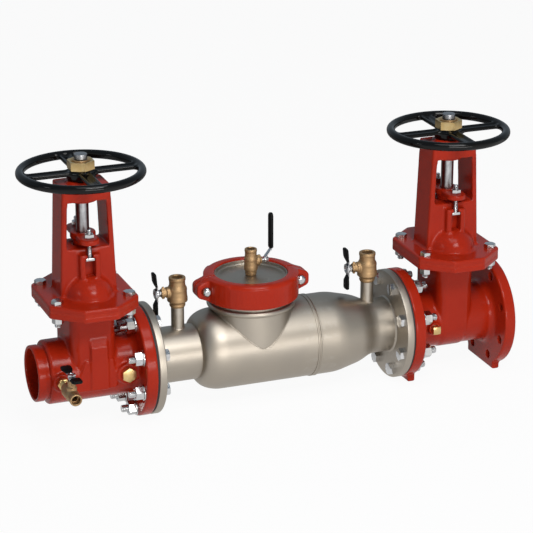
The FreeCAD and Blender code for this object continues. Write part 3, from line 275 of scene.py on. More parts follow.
@dataclass(frozen=True)
class Finish:
    """One finish of the assembly, with its colours as linear values."""

    slot: str
    colour: tuple[float, float, float]
    deep: tuple[float, float, float]
    metallic: float
    roughness: float
    grain: Grain
    grain_scale: float
    grain_depth: float
    rough_spread: float = 0.08
    mottle_scale: float = 22.0
    # Edge tone over outward edges: bare-metal wear on the metals; on the red paint a lighter red, which is a
    # painted edge highlight.
    worn: tuple[float, float, float] = (0.5, 0.48, 0.45)
    wear: float = 0.0
    dust: float = 0.0
    specular: float = 0.5

    def material(self, effects: SurfaceEffects) -> bpy.types.Material:
        """Build the material.

        Args:
            effects: The shared shader groups.

        Returns:
            The node material.
        """
        material = bpy.data.materials.new(self.slot)
        graph = Graph.cleared(material)
        cloud = graph.make("ShaderNodeGroup", {"Scale": self.mottle_scale, "Contrast": 1.4},
                           node_tree=effects.mottle)
        wear = graph.make("ShaderNodeGroup", {"Amount": self.wear}, node_tree=effects.wear)
        dust = graph.make("ShaderNodeGroup", {"Amount": self.dust}, node_tree=effects.dust)
        colour = graph.blend(cloud, (*self.deep, 1), (*self.colour, 1))
        # Lighter tone on outward edges: wear on the metals, a painted edge highlight on the red paint.
        colour = graph.blend(dust, graph.blend(wear, colour, (*self.worn, 1)), DUST_COLOUR)
        stretch = {"Along " + axis: value for axis, value in zip("XYZ", self.grain.value)}
        grain = graph.make("ShaderNodeGroup", {"Scale": self.grain_scale, **stretch},
                           node_tree=effects.grain)
        spread = graph.math("MULTIPLY", graph.math("SUBTRACT", cloud, 0.5), 2 * self.rough_spread)
        rough = graph.math("ADD", spread, self.roughness)
        rough = graph.math("ADD", rough, graph.math("MULTIPLY", dust, 0.5))
        bump = graph.make("ShaderNodeBump", {"Height": grain, "Strength": 0.5, "Distance": self.grain_depth})
        shader = graph.make("ShaderNodeBsdfPrincipled", {
            "Base Color": colour, "Roughness": rough, "Normal": bump, "Metallic": self.metallic,
            "Specular IOR Level": self.specular})
        graph.make("ShaderNodeOutputMaterial", {"Surface": shader})
        return material


FINISHES = (
    # The red paint's lighter red edge tone is a painted edge highlight, not wear.
    Finish("red_paint", (0.400, 0.022, 0.006), (0.345, 0.016, 0.004), 0.0, 0.20, Grain.PAINTED,
           420.0, 0.00006, rough_spread=0.03, worn=(0.46, 0.055, 0.025), wear=0.25, specular=0.17),
    Finish("stainless", (0.44, 0.39, 0.325), (0.38, 0.34, 0.29), 1.0, 0.42, Grain.ROLLED,
           900.0, 0.00004, rough_spread=0.05, mottle_scale=14.0, worn=(0.50, 0.47, 0.42), wear=0.3),
    Finish("bronze", (0.47, 0.31, 0.16), (0.34, 0.21, 0.105), 0.85, 0.49, Grain.CAST,
           700.0, 0.00016, mottle_scale=60.0, worn=(0.72, 0.52, 0.30), wear=0.5),
    Finish("brass", (0.70, 0.50, 0.22), (0.58, 0.40, 0.17), 0.95, 0.30, Grain.TURNED,
           800.0, 0.00005, worn=(0.80, 0.64, 0.36), wear=0.4),
    Finish("chrome", (0.55, 0.55, 0.56), (0.46, 0.46, 0.47), 1.0, 0.12, Grain.TURNED,
           600.0, 0.00002, rough_spread=0.04),
    Finish("zinc", (0.66, 0.66, 0.66), (0.50, 0.50, 0.505), 1.0, 0.17, Grain.TURNED,
           900.0, 0.00004, mottle_scale=90.0, worn=(0.75, 0.75, 0.75), wear=0.4),
    Finish("black_paint", (0.003, 0.003, 0.003), (0.002, 0.002, 0.002), 0.0, 0.11, Grain.PAINTED,
           420.0, 0.00004, rough_spread=0.03, worn=(0.02, 0.02, 0.02), wear=0.3, specular=0.22),
    Finish("black_vinyl", (0.003, 0.003, 0.003), (0.002, 0.002, 0.002), 0.0, 0.45, Grain.MOULDED,
           1400.0, 0.00008, specular=0.12),
    Finish("stem_steel", (0.38, 0.38, 0.39), (0.27, 0.27, 0.28), 1.0, 0.32, Grain.TURNED,
           900.0, 0.00003, worn=(0.6, 0.6, 0.6), wear=0.4),
    Finish("rubber", (0.018, 0.018, 0.019), (0.010, 0.010, 0.011), 0.0, 0.62, Grain.MOULDED,
           1100.0, 0.00010, dust=0.06),
)


def rounded(corners: Sequence[Corner], steps: int = 6) -> list[Vector]:
    """Round the corners of a closed flat outline.

    Args:
        corners: Two coordinates and the rounding of each corner.
        steps: Straight pieces in each arc.

    Returns:
        The outline's points.
    """
    points = [Vector(corner[:2]) for corner in corners]
    outline = []
    for index, (_, _, radius) in enumerate(corners):
        here = points[index]
        back = (points[index - 1] - here).normalized()
        ahead = (points[(index + 1) % len(points)] - here).normalized()
        if radius <= 0:
            outline.append(here)
            continue
        half = math.acos(max(-1.0, min(1.0, back.dot(ahead)))) / 2
        run = radius / math.tan(half)
        centre = here + (back + ahead).normalized() * (radius / math.sin(half))
        start = here + back * run - centre
        finish = here + ahead * run - centre
        sweep = math.atan2(start.x * finish.y - start.y * finish.x, start.dot(finish))
        for step in range(steps + 1):
            outline.append(centre + Matrix.Rotation(sweep * step / steps, 2) @ start)
    return outline


def linked(name: str, data: bpy.types.ID) -> bpy.types.Object:
    """Add an object to the scene.

    Args:
        name: Name of the object.
        data: Its mesh, lamp or camera data.

    Returns:
        The object.
    """
    obj = bpy.data.objects.new(name, data)
    bpy.context.scene.collection.objects.link(obj)
    return obj


def new_object(bm: bmesh.types.BMesh, outward: bool = True) -> bpy.types.Object:
    """Turn a bmesh into an object in the scene.

    Args:
        bm: The bmesh, which is freed.
        outward: Whether its faces are turned to point outwards.

    Returns:
        The object.
    """
    if outward:
        bmesh.ops.recalc_face_normals(bm, faces=bm.faces)
    mesh = bpy.data.meshes.new("part")
    bm.to_mesh(mesh)
    bm.free()
    return linked("part", mesh)


def lofted(rings: Sequence[Sequence[Vector]], closed: bool = False) -> bpy.types.Object:
    """Stretch a skin over rings of points; a ring of one point is a pole.

    Args:
        rings: The rings, in order.
        closed: Whether the last ring joins the first. The end rings are filled otherwise.

    Returns:
        The object.
    """
    bm = bmesh.new()
    rows = [[bm.verts.new(point) for point in ring] for ring in rings]
    pairs = list(zip(rows, rows[1:])) + ([(rows[-1], rows[0])] if closed else [])
    for first, second in pairs:
        count = max(len(first), len(second))
        for k in range(count if count > 1 else 0):
            after = (k + 1) % count
            around = [first[k % len(first)], second[k % len(second)],
                      second[after % len(second)], first[after % len(first)]]
            bm.faces.new(list(dict.fromkeys(around)))
    if not closed:
        for row in (rows[0], rows[-1]):
            if len(row) > 1:
                bm.faces.new(row)
    return new_object(bm)


def spoke(axis: Vector, angle: float) -> Vector:
    """Unit vector across an axis, at an angle round it."""
    side = Z if abs(axis.z) < 0.5 else X
    return side * math.cos(angle) + axis.cross(side) * math.sin(angle)


def turned(outline: Sequence[Sequence[float]], base: Vector = ORIGIN, axis: Vector = Z,
           segments: int = 96, sides: int = 0) -> bpy.types.Object:
    """Turn a closed outline about an axis.

    Args:
        outline: Points as (distance along, radius).
        base: Point on the axis where the distance is zero.
        axis: Direction of the axis.
        segments: Steps round the axis.
        sides: Above zero, a prism with so many flat sides and the outline's radius at its flats.

    Returns:
        The object.
    """
    count = sides or segments
    swell = 1 / math.cos(math.pi / sides) if sides else 1.0
    shift = 0.5 if sides and sides % 4 == 0 else 0.0
    spokes = [spoke(axis, 2 * math.pi * (k + shift) / count) for k in range(count)]
    rings = []
    for along, radius in outline:
        centre = base + axis * along
        rings.append([centre] if radius < 1e-6 else [centre + way * radius * swell for way in spokes])
    return lofted(rings, True)


def bar(base: Vector, axis: Vector, radius: float, length: float, segments: int = 48) -> bpy.types.Object:
    """Plain round bar along an axis."""
    return turned([(0, 0), (0, radius), (length, radius), (length, 0)], base, axis, segments)


def tube(base: Vector, axis: Vector, ends: tuple[float, float], radii: tuple[float, float],
         segments: int = 96) -> bpy.types.Object:
    """Plain tube between two places on an axis, with its inner and outer radius."""
    return turned([(ends[0], radii[0]), (ends[0], radii[1]), (ends[1], radii[1]), (ends[1], radii[0])],
                  base, axis, segments)


def rods(places: Sequence[Vector], axis: Vector, radius: float, length: float) -> list[bpy.types.Object]:
    """Plain round bars for cutting or filling."""
    return [bar(place, axis, radius, length) for place in places]


def screw(radius: float, pitch: float, length: float, base: Vector, axis: Vector,
          segments: int = 20) -> bpy.types.Object:
    """Rod with a right-hand thread and tapered ends.

    Args:
        radius: Outer radius.
        pitch: Distance between turns.
        length: Length of the rod.
        base: Start of the rod on its axis.
        axis: Direction of the rod.
        segments: Steps round the rod.

    Returns:
        The object.
    """
    rows = max(4, int(length / pitch * 4))
    depth = 0.58 * pitch
    spokes = [spoke(axis, 2 * math.pi * k / segments) for k in range(segments)]
    rings = [[base]]
    for row in range(rows + 1):
        along = length * row / rows
        end = min(1.0, along / pitch, (length - along) / pitch)
        cuts = [depth * abs(2 * ((along / pitch - k / segments) % 1) - 1) * end + depth * (1 - end)
                for k in range(segments)]
        rings.append([base + axis * along + way * (radius - cut) for way, cut in zip(spokes, cuts)])
    return lofted([*rings, [base + axis * length]])


def box_between(low: Sequence[float], high: Sequence[float]) -> bpy.types.Object:
    """Box between two corners.

    Args:
        low: Lowest corner.
        high: Highest corner.

    Returns:
        The object.
    """
    bm = bmesh.new()
    bmesh.ops.create_cube(bm, size=1)
    for vert in bm.verts:
        for axis in range(3):
            vert.co[axis] = high[axis] if vert.co[axis] > 0 else low[axis]
    return new_object(bm)


def slab(outline: Sequence[Corner], base: Vector, across: Vector, up: Vector,
         through: Vector) -> bpy.types.Object:
    """Flat plate from an outline with rounded corners.

    Args:
        outline: Two coordinates and the rounding of each corner.
        base: Where both coordinates are zero.
        across: Direction of the first coordinate.
        up: Direction of the second coordinate.
        through: The plate's thickness and its direction.

    Returns:
        The object.
    """
    points = [base + across * p.x + up * p.y for p in rounded(outline)]
    return lofted([[point + through * step for point in points] for step in (0, 1)])


def ribbon(stations: Sequence[tuple[float, float, float, float]], base: Vector,
           along: Vector, out: Vector) -> bpy.types.Object:
    """Strap with rounded edges lofted through stations.

    Args:
        stations: Place along, place outwards, half width and half thickness of each section.
        base: Where both places are zero.
        along: Direction of the strap.
        out: Direction of its thickness.

    Returns:
        The object.
    """
    across = along.cross(out)
    rings = []
    for place, offset, width, thickness in stations:
        centre = base + along * place + out * offset
        edge = min(width, thickness) * 0.98
        outline = rounded([(width, thickness, edge), (-width, thickness, edge),
                           (-width, -thickness, edge), (width, -thickness, edge)], 3)
        rings.append([centre + across * p.x + out * p.y for p in outline])
    return lofted(rings)


def merged(parts: Sequence[bpy.types.Object]) -> bpy.types.Object:
    """Gather the meshes of several objects in one, and remove them.

    Args:
        parts: The objects.

    Returns:
        The new object.
    """
    bm = bmesh.new()
    for part in parts:
        bm.from_mesh(part.data)
        bpy.data.objects.remove(part)
    return new_object(bm, False)


def settled(obj: bpy.types.Object) -> bpy.types.Object:
    """Replace an object's mesh by what its modifiers make, and drop them.

    Args:
        obj: Object with live modifiers.

    Returns:
        The same object with a plain mesh.
    """
    graph = bpy.context.evaluated_depsgraph_get()
    mesh = bpy.data.meshes.new_from_object(obj.evaluated_get(graph), depsgraph=graph)
    obj.modifiers.clear()
    obj.data = mesh
    return obj


def combined(obj: bpy.types.Object, tool: bpy.types.Object,
             operation: str = "DIFFERENCE") -> bpy.types.Object:
    """Join or cut two closed meshes, and remove the tool.

    Args:
        obj: The mesh that is changed.
        tool: The mesh that joins or cuts it.
        operation: UNION, DIFFERENCE or INTERSECT.

    Returns:
        The changed object.
    """
    modifier = obj.modifiers.new("combine", "BOOLEAN")
    modifier.operation = operation
    modifier.solver = "MANIFOLD"
    modifier.object = tool
    settled(obj)
    bpy.data.objects.remove(tool)
    return obj


def worked(obj: bpy.types.Object, tree: bpy.types.NodeTree, inputs: dict[str, object]) -> bpy.types.Object:
    """Run a Geometry Nodes tree on an object and keep what it makes.

    Args:
        obj: The object.
        tree: The tree.
        inputs: Values of its inputs by name.

    Returns:
        The same object with its new mesh.
    """
    modifier = obj.modifiers.new("nodes", "NODES")
    modifier.node_group = tree
    for item in tree.interface.items_tree:
        if item.item_type == "SOCKET" and item.in_out == "INPUT" and item.name in inputs:
            modifier[item.identifier] = inputs[item.name]
    return settled(obj)


def moved(obj: bpy.types.Object, matrix: Matrix) -> bpy.types.Object:
    """Apply a placement to an object's mesh."""
    obj.data.transform(matrix)
    return obj


def posed(place: Sequence[float], axis: str, quarters: int = 1) -> Matrix:
    """Placement at a point, turned by quarter turns about an axis."""
    return Matrix.Translation(place) @ Matrix.Rotation(quarters * math.pi / 2, 4, axis)


def four_places(x: float, z: float, half_x: float, half_y: float) -> list[Vector]:
    """Corners of a flat rectangle about the line above a station of the pipe."""
    return [Vector((x + sx * half_x, sy * half_y, z)) for sx in SIDES for sy in SIDES]


def circle_places(x: float) -> list[Vector]:
    """Bolt places of an eight-hole flange whose holes start at x."""
    angles = [math.pi / 4 * (k + 0.5) for k in range(8)]
    return [Vector((x, BOLT_CIRCLE * math.cos(a), BOLT_CIRCLE * math.sin(a))) for a in angles]


class CastSkin:
    """Geometry Nodes that give a solid the rounded inner corners and soft edges of a casting."""

    most_faces: int = 150000

    def __init__(self) -> None:
        """Build the tree: close the solid's distance field by the fillet, then open it by the edge."""
        graph, given = Graph.group("Cast Skin", "GeometryNodeTree", {
            "Geometry": "NodeSocketGeometry", "Voxel Size": 2 * MM, "Fillet": 6 * MM, "Edge": 1.5 * MM,
            "Band": 8}, "Geometry")
        inward = graph.math("MULTIPLY", graph.math("ADD", given["Fillet"], given["Edge"]), -1.0)
        skin = graph.make("GeometryNodeMergeByDistance", {"Geometry": given[0], "Distance": 1e-6})
        for distance in (given["Fillet"], inward, given["Edge"]):
            grid = graph.make("GeometryNodeMeshToSDFGrid", {
                "Mesh": skin, "Voxel Size": given["Voxel Size"], "Band Width": given["Band"]})
            skin = graph.make("GeometryNodeGridToMesh", {"Grid": grid, "Threshold": distance})
        place = graph.make("GeometryNodeInputPosition").outputs[0]
        blur = graph.make("GeometryNodeBlurAttribute", {"Iterations": 2}, data_type="FLOAT_VECTOR")
        source, blurred = (next(item for item in side if item.type == "VECTOR")
                           for side in (blur.inputs, blur.outputs))
        graph.tree.links.new(place, source)
        eased = graph.make("GeometryNodeSetPosition", {"Geometry": skin, "Position": blurred})
        self.tree = graph.ended(eased)

    def over(self, obj: bpy.types.Object, fillet: float, edge: float, voxel: float) -> bpy.types.Object:
        """Put the skin over an object.

        Args:
            obj: Closed mesh that the skin is worked out from.
            fillet: Radius of the inner corners.
            edge: Radius of the outer edges.
            voxel: Size of the steps.

        Returns:
            The same object with its new mesh.
        """
        worked(obj, self.tree, {"Voxel Size": voxel, "Fillet": fillet, "Edge": edge,
                                "Band": int((fillet + edge) / voxel) + 3})
        share = self.most_faces / max(1, sum(len(face.vertices) - 2 for face in obj.data.polygons))
        if share < 1:
            obj.modifiers.new("thin", "DECIMATE").ratio = share
            settled(obj)
        return obj


class FastenerSet:
    """Geometry Nodes that lay copies of one fastener on a circle or in rows."""

    def __init__(self) -> None:
        """Build the tree of each layout."""
        self.trees = {layout: self._tree(layout) for layout in Layout}

    @staticmethod
    def _tree(layout: Layout) -> bpy.types.NodeTree:
        """Build one tree.

        Args:
            layout: Circle or rows.

        Returns:
            The tree.
        """
        graph, given = Graph.group("Fasteners in " + layout.value, "GeometryNodeTree", {
            "Geometry": "NodeSocketGeometry", "Fastener": "NodeSocketObject", "Count": 8,
            "Pitch Radius": 0.1, "Spacing X": 0.1, "Spacing Y": 0.1, "Spin": 0.0, "Seed": 3}, "Geometry")
        if layout is Layout.CIRCLE:
            ring = graph.make("GeometryNodeMeshCircle", {"Vertices": given["Count"],
                                                         "Radius": given["Pitch Radius"]})
            half_step = graph.math("DIVIDE", math.pi, given["Count"])
            turn = graph.make("ShaderNodeCombineXYZ", {2: half_step})
            places = graph.make("GeometryNodeTransform", {"Geometry": ring, "Rotation": turn})
        else:
            rows = graph.make("GeometryNodeMeshGrid", {
                "Size X": given["Spacing X"], "Size Y": given["Spacing Y"],
                "Vertices X": 2, "Vertices Y": 2})
            places = graph.make("GeometryNodeMergeByDistance", {"Geometry": rows, "Distance": 1e-5})
        master = graph.make("GeometryNodeObjectInfo", {"Object": given["Fastener"]}).outputs["Geometry"]
        spin = graph.make("FunctionNodeRandomValue", {"Seed": given["Seed"]}, data_type="FLOAT").outputs[1]
        angle = graph.math("MULTIPLY", graph.math("SUBTRACT", spin, 0.5), given["Spin"])
        about = graph.make("ShaderNodeCombineXYZ", {2: angle})
        copies = graph.make("GeometryNodeInstanceOnPoints", {
            "Points": places, "Instance": master, "Rotation": about})
        return graph.ended(graph.make("GeometryNodeRealizeInstances", {"Geometry": copies}))

    def laid(self, layout: Layout, master: bpy.types.Object, place: Matrix,
             inputs: dict[str, float]) -> bpy.types.Object:
        """Lay the copies, as one plain mesh.

        Args:
            layout: Circle or rows.
            master: The fastener, standing at the origin along +Z.
            place: Placement of the whole set.
            inputs: The tree's sizes by name, and Spin, the range of the fasteners' own turn.

        Returns:
            The set.
        """
        obj = linked("set", bpy.data.meshes.new("set"))
        return moved(worked(obj, self.trees[layout], {"Fastener": master, **inputs}), place)


class WeldRun:
    """Geometry Nodes that lay a rippled weld bead along a line."""

    def __init__(self) -> None:
        """Build the tree."""
        graph, given = Graph.group("Weld Run", "GeometryNodeTree", {
            "Geometry": "NodeSocketGeometry", "Bead Radius": 1.5 * MM, "Ripple": 0.15 * MM}, "Geometry")
        line = graph.make("GeometryNodeMeshToCurve", {"Mesh": given[0]})
        ring = graph.make("GeometryNodeCurvePrimitiveCircle", {"Resolution": 10,
                                                               "Radius": given["Bead Radius"]})
        bead = graph.make("GeometryNodeCurveToMesh", {"Curve": line, "Profile Curve": ring})
        place = graph.make("GeometryNodeInputPosition")
        noise = graph.make("ShaderNodeTexNoise", {"Vector": place, "Scale": 320.0})
        lift = graph.math("MULTIPLY", graph.math("SUBTRACT", noise, 0.5), given["Ripple"])
        normal = graph.make("GeometryNodeInputNormal")
        shift = graph.make("ShaderNodeVectorMath", {0: normal, "Scale": lift}, operation="SCALE")
        self.tree = graph.ended(graph.make("GeometryNodeSetPosition", {"Geometry": bead, "Offset": shift}))

    def along(self, points: Sequence[Vector], radius: float) -> bpy.types.Object:
        """Lay a bead along a closed line.

        Args:
            points: Points of the line.
            radius: Radius of the bead.

        Returns:
            The bead.
        """
        bm = bmesh.new()
        verts = [bm.verts.new(point) for point in points]
        for first, second in zip(verts, verts[1:] + verts[:1]):
            bm.edges.new((first, second))
        bead = worked(new_object(bm), self.tree, {"Bead Radius": radius})
        bm = bmesh.new()
        bm.from_mesh(bead.data)
        bpy.data.objects.remove(bead)
        return new_object(bm)


class Workshop:
    """Tools and finishes that the sub-assemblies share, and the seating of their pieces."""

    def __init__(self, finishes: Sequence[Finish]) -> None:
        """Build each finish and each tool once.

        Args:
            finishes: Every finish of the assembly.
        """
        effects = SurfaceEffects()
        self.materials = {finish.slot: finish.material(effects) for finish in finishes}
        self.casting = CastSkin()
        self.fasteners = FastenerSet()
        self.welding = WeldRun()

    def seat(self, name: str, parts: Sequence[bpy.types.Object], slot: str, node: str) -> None:
        """Join made meshes in one dressed piece that stands for a CAD node.

        Args:
            name: Name of the piece.
            parts: The meshes.
            slot: Name of its finish.
            node: The CAD node that it replaces.
        """
        obj = merged(parts) if len(parts) > 1 else parts[0]
        obj.name = name
        obj.data.materials.clear()
        obj.data.materials.append(self.materials[slot])
        obj.data.shade_smooth()
        obj.data.set_sharp_from_angle(angle=SMOOTH_ANGLE)
        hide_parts(node)
        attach(obj, frame["nodes"][node]["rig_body"])
        LOG.info("%s: %d faces in %s", name, len(obj.data.polygons), slot)

    def keep(self, slot: str, *nodes: str) -> None:
        """Keep CAD nodes and give them their finish.

        Args:
            slot: Name of the finish.
            nodes: The CAD nodes.
        """
        for node in nodes:
            obj = frame["nodes"][node]
            obj.data.materials.clear()
            obj.data.materials.append(self.materials[slot])
            LOG.info("%s: kept from CAD in %s", node, slot)

    def cast(self, node: str, slot: str, skin: tuple[float, float, float],
             filled: Sequence[bpy.types.Object] = (), cut: Sequence[bpy.types.Object] = (),
             carved: Sequence[bpy.types.Object] = ()) -> None:
        """Replace a CAD node by its own shape with a cast skin, machined after casting.

        Args:
            node: The CAD node.
            slot: Its finish.
            skin: Radius of the inner corners, radius of the outer edges and size of the steps, in mm.
            filled: What the pattern fills before casting.
            cut: What is machined away afterwards.
            carved: What is taken off the pattern before casting.
        """
        bm = bmesh.new()
        bm.from_mesh(frame["nodes"][node].data)
        bmesh.ops.remove_doubles(bm, verts=bm.verts, dist=1e-6)
        blank = new_object(bm, False)
        for tool in carved:
            combined(blank, tool)
        casting = self.casting.over(merged([blank, *filled]), *(size * MM for size in skin))
        if cut:
            combined(casting, merged(cut))
        self.seat(node + "_cast", [casting], slot, node)


@dataclass
class HexPart:
    """Hexagon or square heads, nuts and bolts, standing at the origin along +Z."""

    thread: float
    across: float
    height: float
    bevel: float = 0.55
    crown: float = 0.97
    sides: int = 6

    def head(self, both_ends: bool = False) -> bpy.types.Object:
        """Block whose corners are turned off at its far end, or at both.

        Args:
            both_ends: Whether the near end is turned too.

        Returns:
            The block from z = 0 to its height.
        """
        flat = self.across / 2
        block = turned([(0, 0), (0, flat), (self.height, flat), (self.height, 0)], sides=self.sides)
        corner = flat / math.cos(math.pi / self.sides)
        wide = 1.02 * corner
        tip = self.crown * flat
        drop = (corner - tip) * self.bevel
        near = [(0, tip), (drop, wide)] if both_ends else [(0, 1.1 * corner), (0.0, wide)]
        cone = turned([(0, 0), *near, (self.height - drop, wide), (self.height, tip), (self.height, 0)],
                      segments=48)
        return combined(block, cone, "INTERSECT")

    def nut(self, both_ends: bool = True) -> bpy.types.Object:
        """Nut with a countersunk hole.

        Args:
            both_ends: Whether the corners are turned off at both ends.

        Returns:
            The nut from z = 0 to its height.
        """
        radius = self.thread / 2
        sink = 0.12 * self.thread
        far = self.height + sink
        hole = turned([(-sink, 0), (-sink, radius + 2 * sink), (sink, radius), (self.height - sink, radius),
                       (far, radius + 2 * sink), (far, 0)], segments=32)
        return combined(self.head(both_ends), hole)

    def bolt(self, length: float, threaded: float, pitch: float) -> bpy.types.Object:
        """Bolt with its head below the origin and its shank along +Z.

        Args:
            length: Length of the shank.
            threaded: Threaded part of that length, at its far end.
            pitch: Pitch of the thread.

        Returns:
            The bolt.
        """
        radius = self.thread / 2
        plain = length - threaded
        end = plain + MM
        shank = turned([(-MM, 0), (-MM, radius), (plain, radius), (end, 0.9 * radius), (end, 0)],
                       segments=28)
        thread = screw(radius, pitch, threaded, Z * plain, Z)
        return merged([moved(self.head(), posed(ORIGIN, "X", 2)), shank, thread])


@dataclass
class GateValve:
    """One outside-screw-and-yoke gate valve."""

    shop: Workshop
    name: str
    grooved: bool
    groove_start: float = 15.88 * MM
    groove_width: float = 8.74 * MM
    groove_radius: float = 55.04 * MM
    lip_radius: float = 57.15 * MM
    flange_hole: float = 9.525 * MM
    joint_hole: float = 9.0 * MM
    flange_t: float = 23.8 * MM
    bonnet_bolt_x: float = 73 * MM
    bonnet_bolt_y: float = 62 * MM
    bonnet_hole: float = 7.6 * MM
    joint_t: float = 13 * MM
    bonnet_t: float = 12.5 * MM
    slot_half: float = 10 * MM
    notch_half: float = 5.6 * MM
    slot_floor: float = 31 * MM
    slot_reach: float = 60 * MM
    slot_z: float = 206 * MM
    shelf_z: float = 245 * MM
    tower_half_y: float = 36 * MM
    tower_edge: float = 5 * MM
    shoulder_half: float = 49.4 * MM
    shoulder_z: float = 352 * MM
    crown_z: float = 387.5 * MM
    window_low: tuple[float, float] = (43.0 * MM, 262 * MM)
    window_high: tuple[float, float] = (39.2 * MM, 357 * MM)
    boss_radius: float = 30 * MM
    boss_low: float = 351 * MM
    boss_top: float = 392 * MM
    sleeve_radius: float = 22.05 * MM
    stem_thread_z: float = 350 * MM
    stem_pitch: float = 6 * MM
    stem_tip: float = 7 * MM
    hub_thread: float = 34 * MM

    def node(self, piece: str) -> str:
        """Name of one of this valve's CAD nodes."""
        return self.name + "_" + piece

    @property
    def stem_x(self) -> float:
        """Place of the stem along the pipe, from the frame."""
        low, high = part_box(self.node("stem"))
        return (low.x + high.x) / 2

    def bonnet_places(self, z: float) -> list[Vector]:
        """Bolt places of the bonnet joint whose holes start at z."""
        return four_places(self.stem_x, z, self.bonnet_bolt_x, self.bonnet_bolt_y)

    def body(self) -> None:
        """Cast body with machined bolt holes; the inlet one gets its pipe groove too."""
        low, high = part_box(self.node("valve_body"))
        skirt = 0.2 * MM
        outer = high.x - self.flange_t
        rows = [(low.x, self.joint_hole), (outer, self.flange_hole)]
        if self.grooved:
            rows = [(outer, self.joint_hole)]
        start = high.z - self.joint_t
        cut = rods(self.bonnet_places(start - MM), Z, self.bonnet_hole, self.joint_t + 2 * MM)
        filled = rods(self.bonnet_places(start + skirt), Z, self.bonnet_hole + skirt,
                      self.joint_t - 2 * skirt)
        for x, hole in rows:
            cut += rods(circle_places(x - MM), X, hole, self.flange_t + 2 * MM)
            filled += rods(circle_places(x + skirt), X, hole + skirt, self.flange_t - 2 * skirt)
        if self.grooved:
            near = self.groove_start
            far = near + self.groove_width
            floor = self.groove_radius
            filled.append(tube(ORIGIN, X, (near - skirt, far + skirt),
                               (floor - MM, self.lip_radius - skirt)))
            cut.append(turned(rounded([(near, floor, 0.8 * MM), (near, floor + 6 * MM, 0),
                                       (far, floor + 6 * MM, 0), (far, floor, 0.8 * MM)]), ORIGIN, X, 160))
        self.shop.cast(self.node("valve_body"), "red_paint", (3.0, 0.9, 1.35), filled, cut)

    def window(self) -> bpy.types.Object:
        """Yoke window with crisp corners, sparing the sagging boss.

        Returns:
            The cutter.
        """
        low, low_z = self.window_low
        high, high_z = self.window_high
        turn = 1.5 * MM
        outline = [(-low, low_z, turn), (-high, high_z, turn), (high, high_z, turn), (low, low_z, turn)]
        reach = 2 * self.tower_half_y
        cutter = slab(outline, Vector((self.stem_x, -reach, 0)), X, Z, Y * 2 * reach)
        boss = bar(Vector((self.stem_x, 0, self.boss_low)), Z, self.boss_radius,
                   self.boss_top - self.boss_low)
        return combined(cutter, boss)

    def shoulders(self) -> bpy.types.Object:
        """Upper part of the tower, carried straight up to below the handwheel.

        Returns:
            The block that the pattern fills.
        """
        half = self.shoulder_half
        deep = self.tower_half_y
        corners = [(-half, -deep), (half, -deep), (half, deep), (-half, deep)]
        return slab([(x, y, self.tower_edge) for x, y in corners],
                    Vector((self.stem_x, 0, self.shoulder_z)), X, Y, Z * (self.crown_z - self.shoulder_z))

    def bonnet(self) -> None:
        """Cast bonnet and yoke, with the slots for the hooked bolts and the bolt holes cut clean."""
        low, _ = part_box(self.node("bonnet"))
        x = self.stem_x
        cut = rods(self.bonnet_places(low.z - MM), Z, self.bonnet_hole, self.bonnet_t + 2 * MM)
        for side in SIDES:
            for half, inner, floor, top in (
                    (self.slot_half, self.slot_floor, self.slot_z, self.shelf_z),
                    (self.notch_half, self.slot_floor + 6 * MM, self.shelf_z - MM, self.shelf_z + 22 * MM)):
                near, far = sorted((side * inner, side * self.slot_reach))
                cut.append(box_between((x - half, near, floor), (x + half, far, top)))
        cut.append(self.window())
        cut.append(bar(Vector((x, 0, self.boss_low - MM)), Z, self.sleeve_radius,
                       self.boss_top - self.boss_low + 2 * MM))
        self.shop.cast(self.node("bonnet"), "red_paint", (3.5, 1.0, 1.4), [self.shoulders()], cut)

    def stem(self) -> None:
        """Polished shaft with a coarse thread at its top."""
        low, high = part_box(self.node("stem"))
        radius = (high.x - low.x) / 2
        base = Vector((self.stem_x, 0, low.z))
        plain = self.stem_thread_z - low.z
        end = high.z - self.stem_tip - low.z
        shaft = turned([(0, 0), (0, radius), (plain, radius), (plain + MM, 0.9 * radius), (plain + MM, 0)],
                       base, Z, 64)
        thread = screw(radius, self.stem_pitch, end - plain, base + Z * plain, Z, 48)
        tip = [(end - 2 * MM, 0, 0), (end - 2 * MM, radius, 0), (high.z - low.z, radius, 1.2 * MM),
               (high.z - low.z, 0, 0)]
        parts = [shaft, thread, turned(rounded(tip), base, Z, 64)]
        self.shop.seat(self.node("stem_shaft"), parts, "stem_steel", self.node("stem"))

    def wheel_nut(self) -> None:
        """Brass hexagon nut over the hub."""
        low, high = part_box(self.node("wheel_nut"))
        nut = HexPart(self.hub_thread, high.y - low.y, high.z - low.z, 0.5, 1.1).nut(False)
        moved(nut, posed((self.stem_x, 0, low.z), "Z"))
        self.shop.seat(self.node("hub_nut"), [nut], "brass", self.node("wheel_nut"))

    def build(self) -> None:
        """Build and dress every piece of the valve."""
        self.body()
        self.bonnet()
        self.shop.cast(self.node("gland"), "red_paint", (4, 1.2, 1.2))
        self.shop.cast(self.node("handwheel"), "black_paint", (5, 1.2, 1.6))
        self.stem()
        self.wheel_nut()
        self.shop.keep("bronze", self.node("yoke_sleeve"))
        self.shop.keep("rubber", self.node("wedge"))


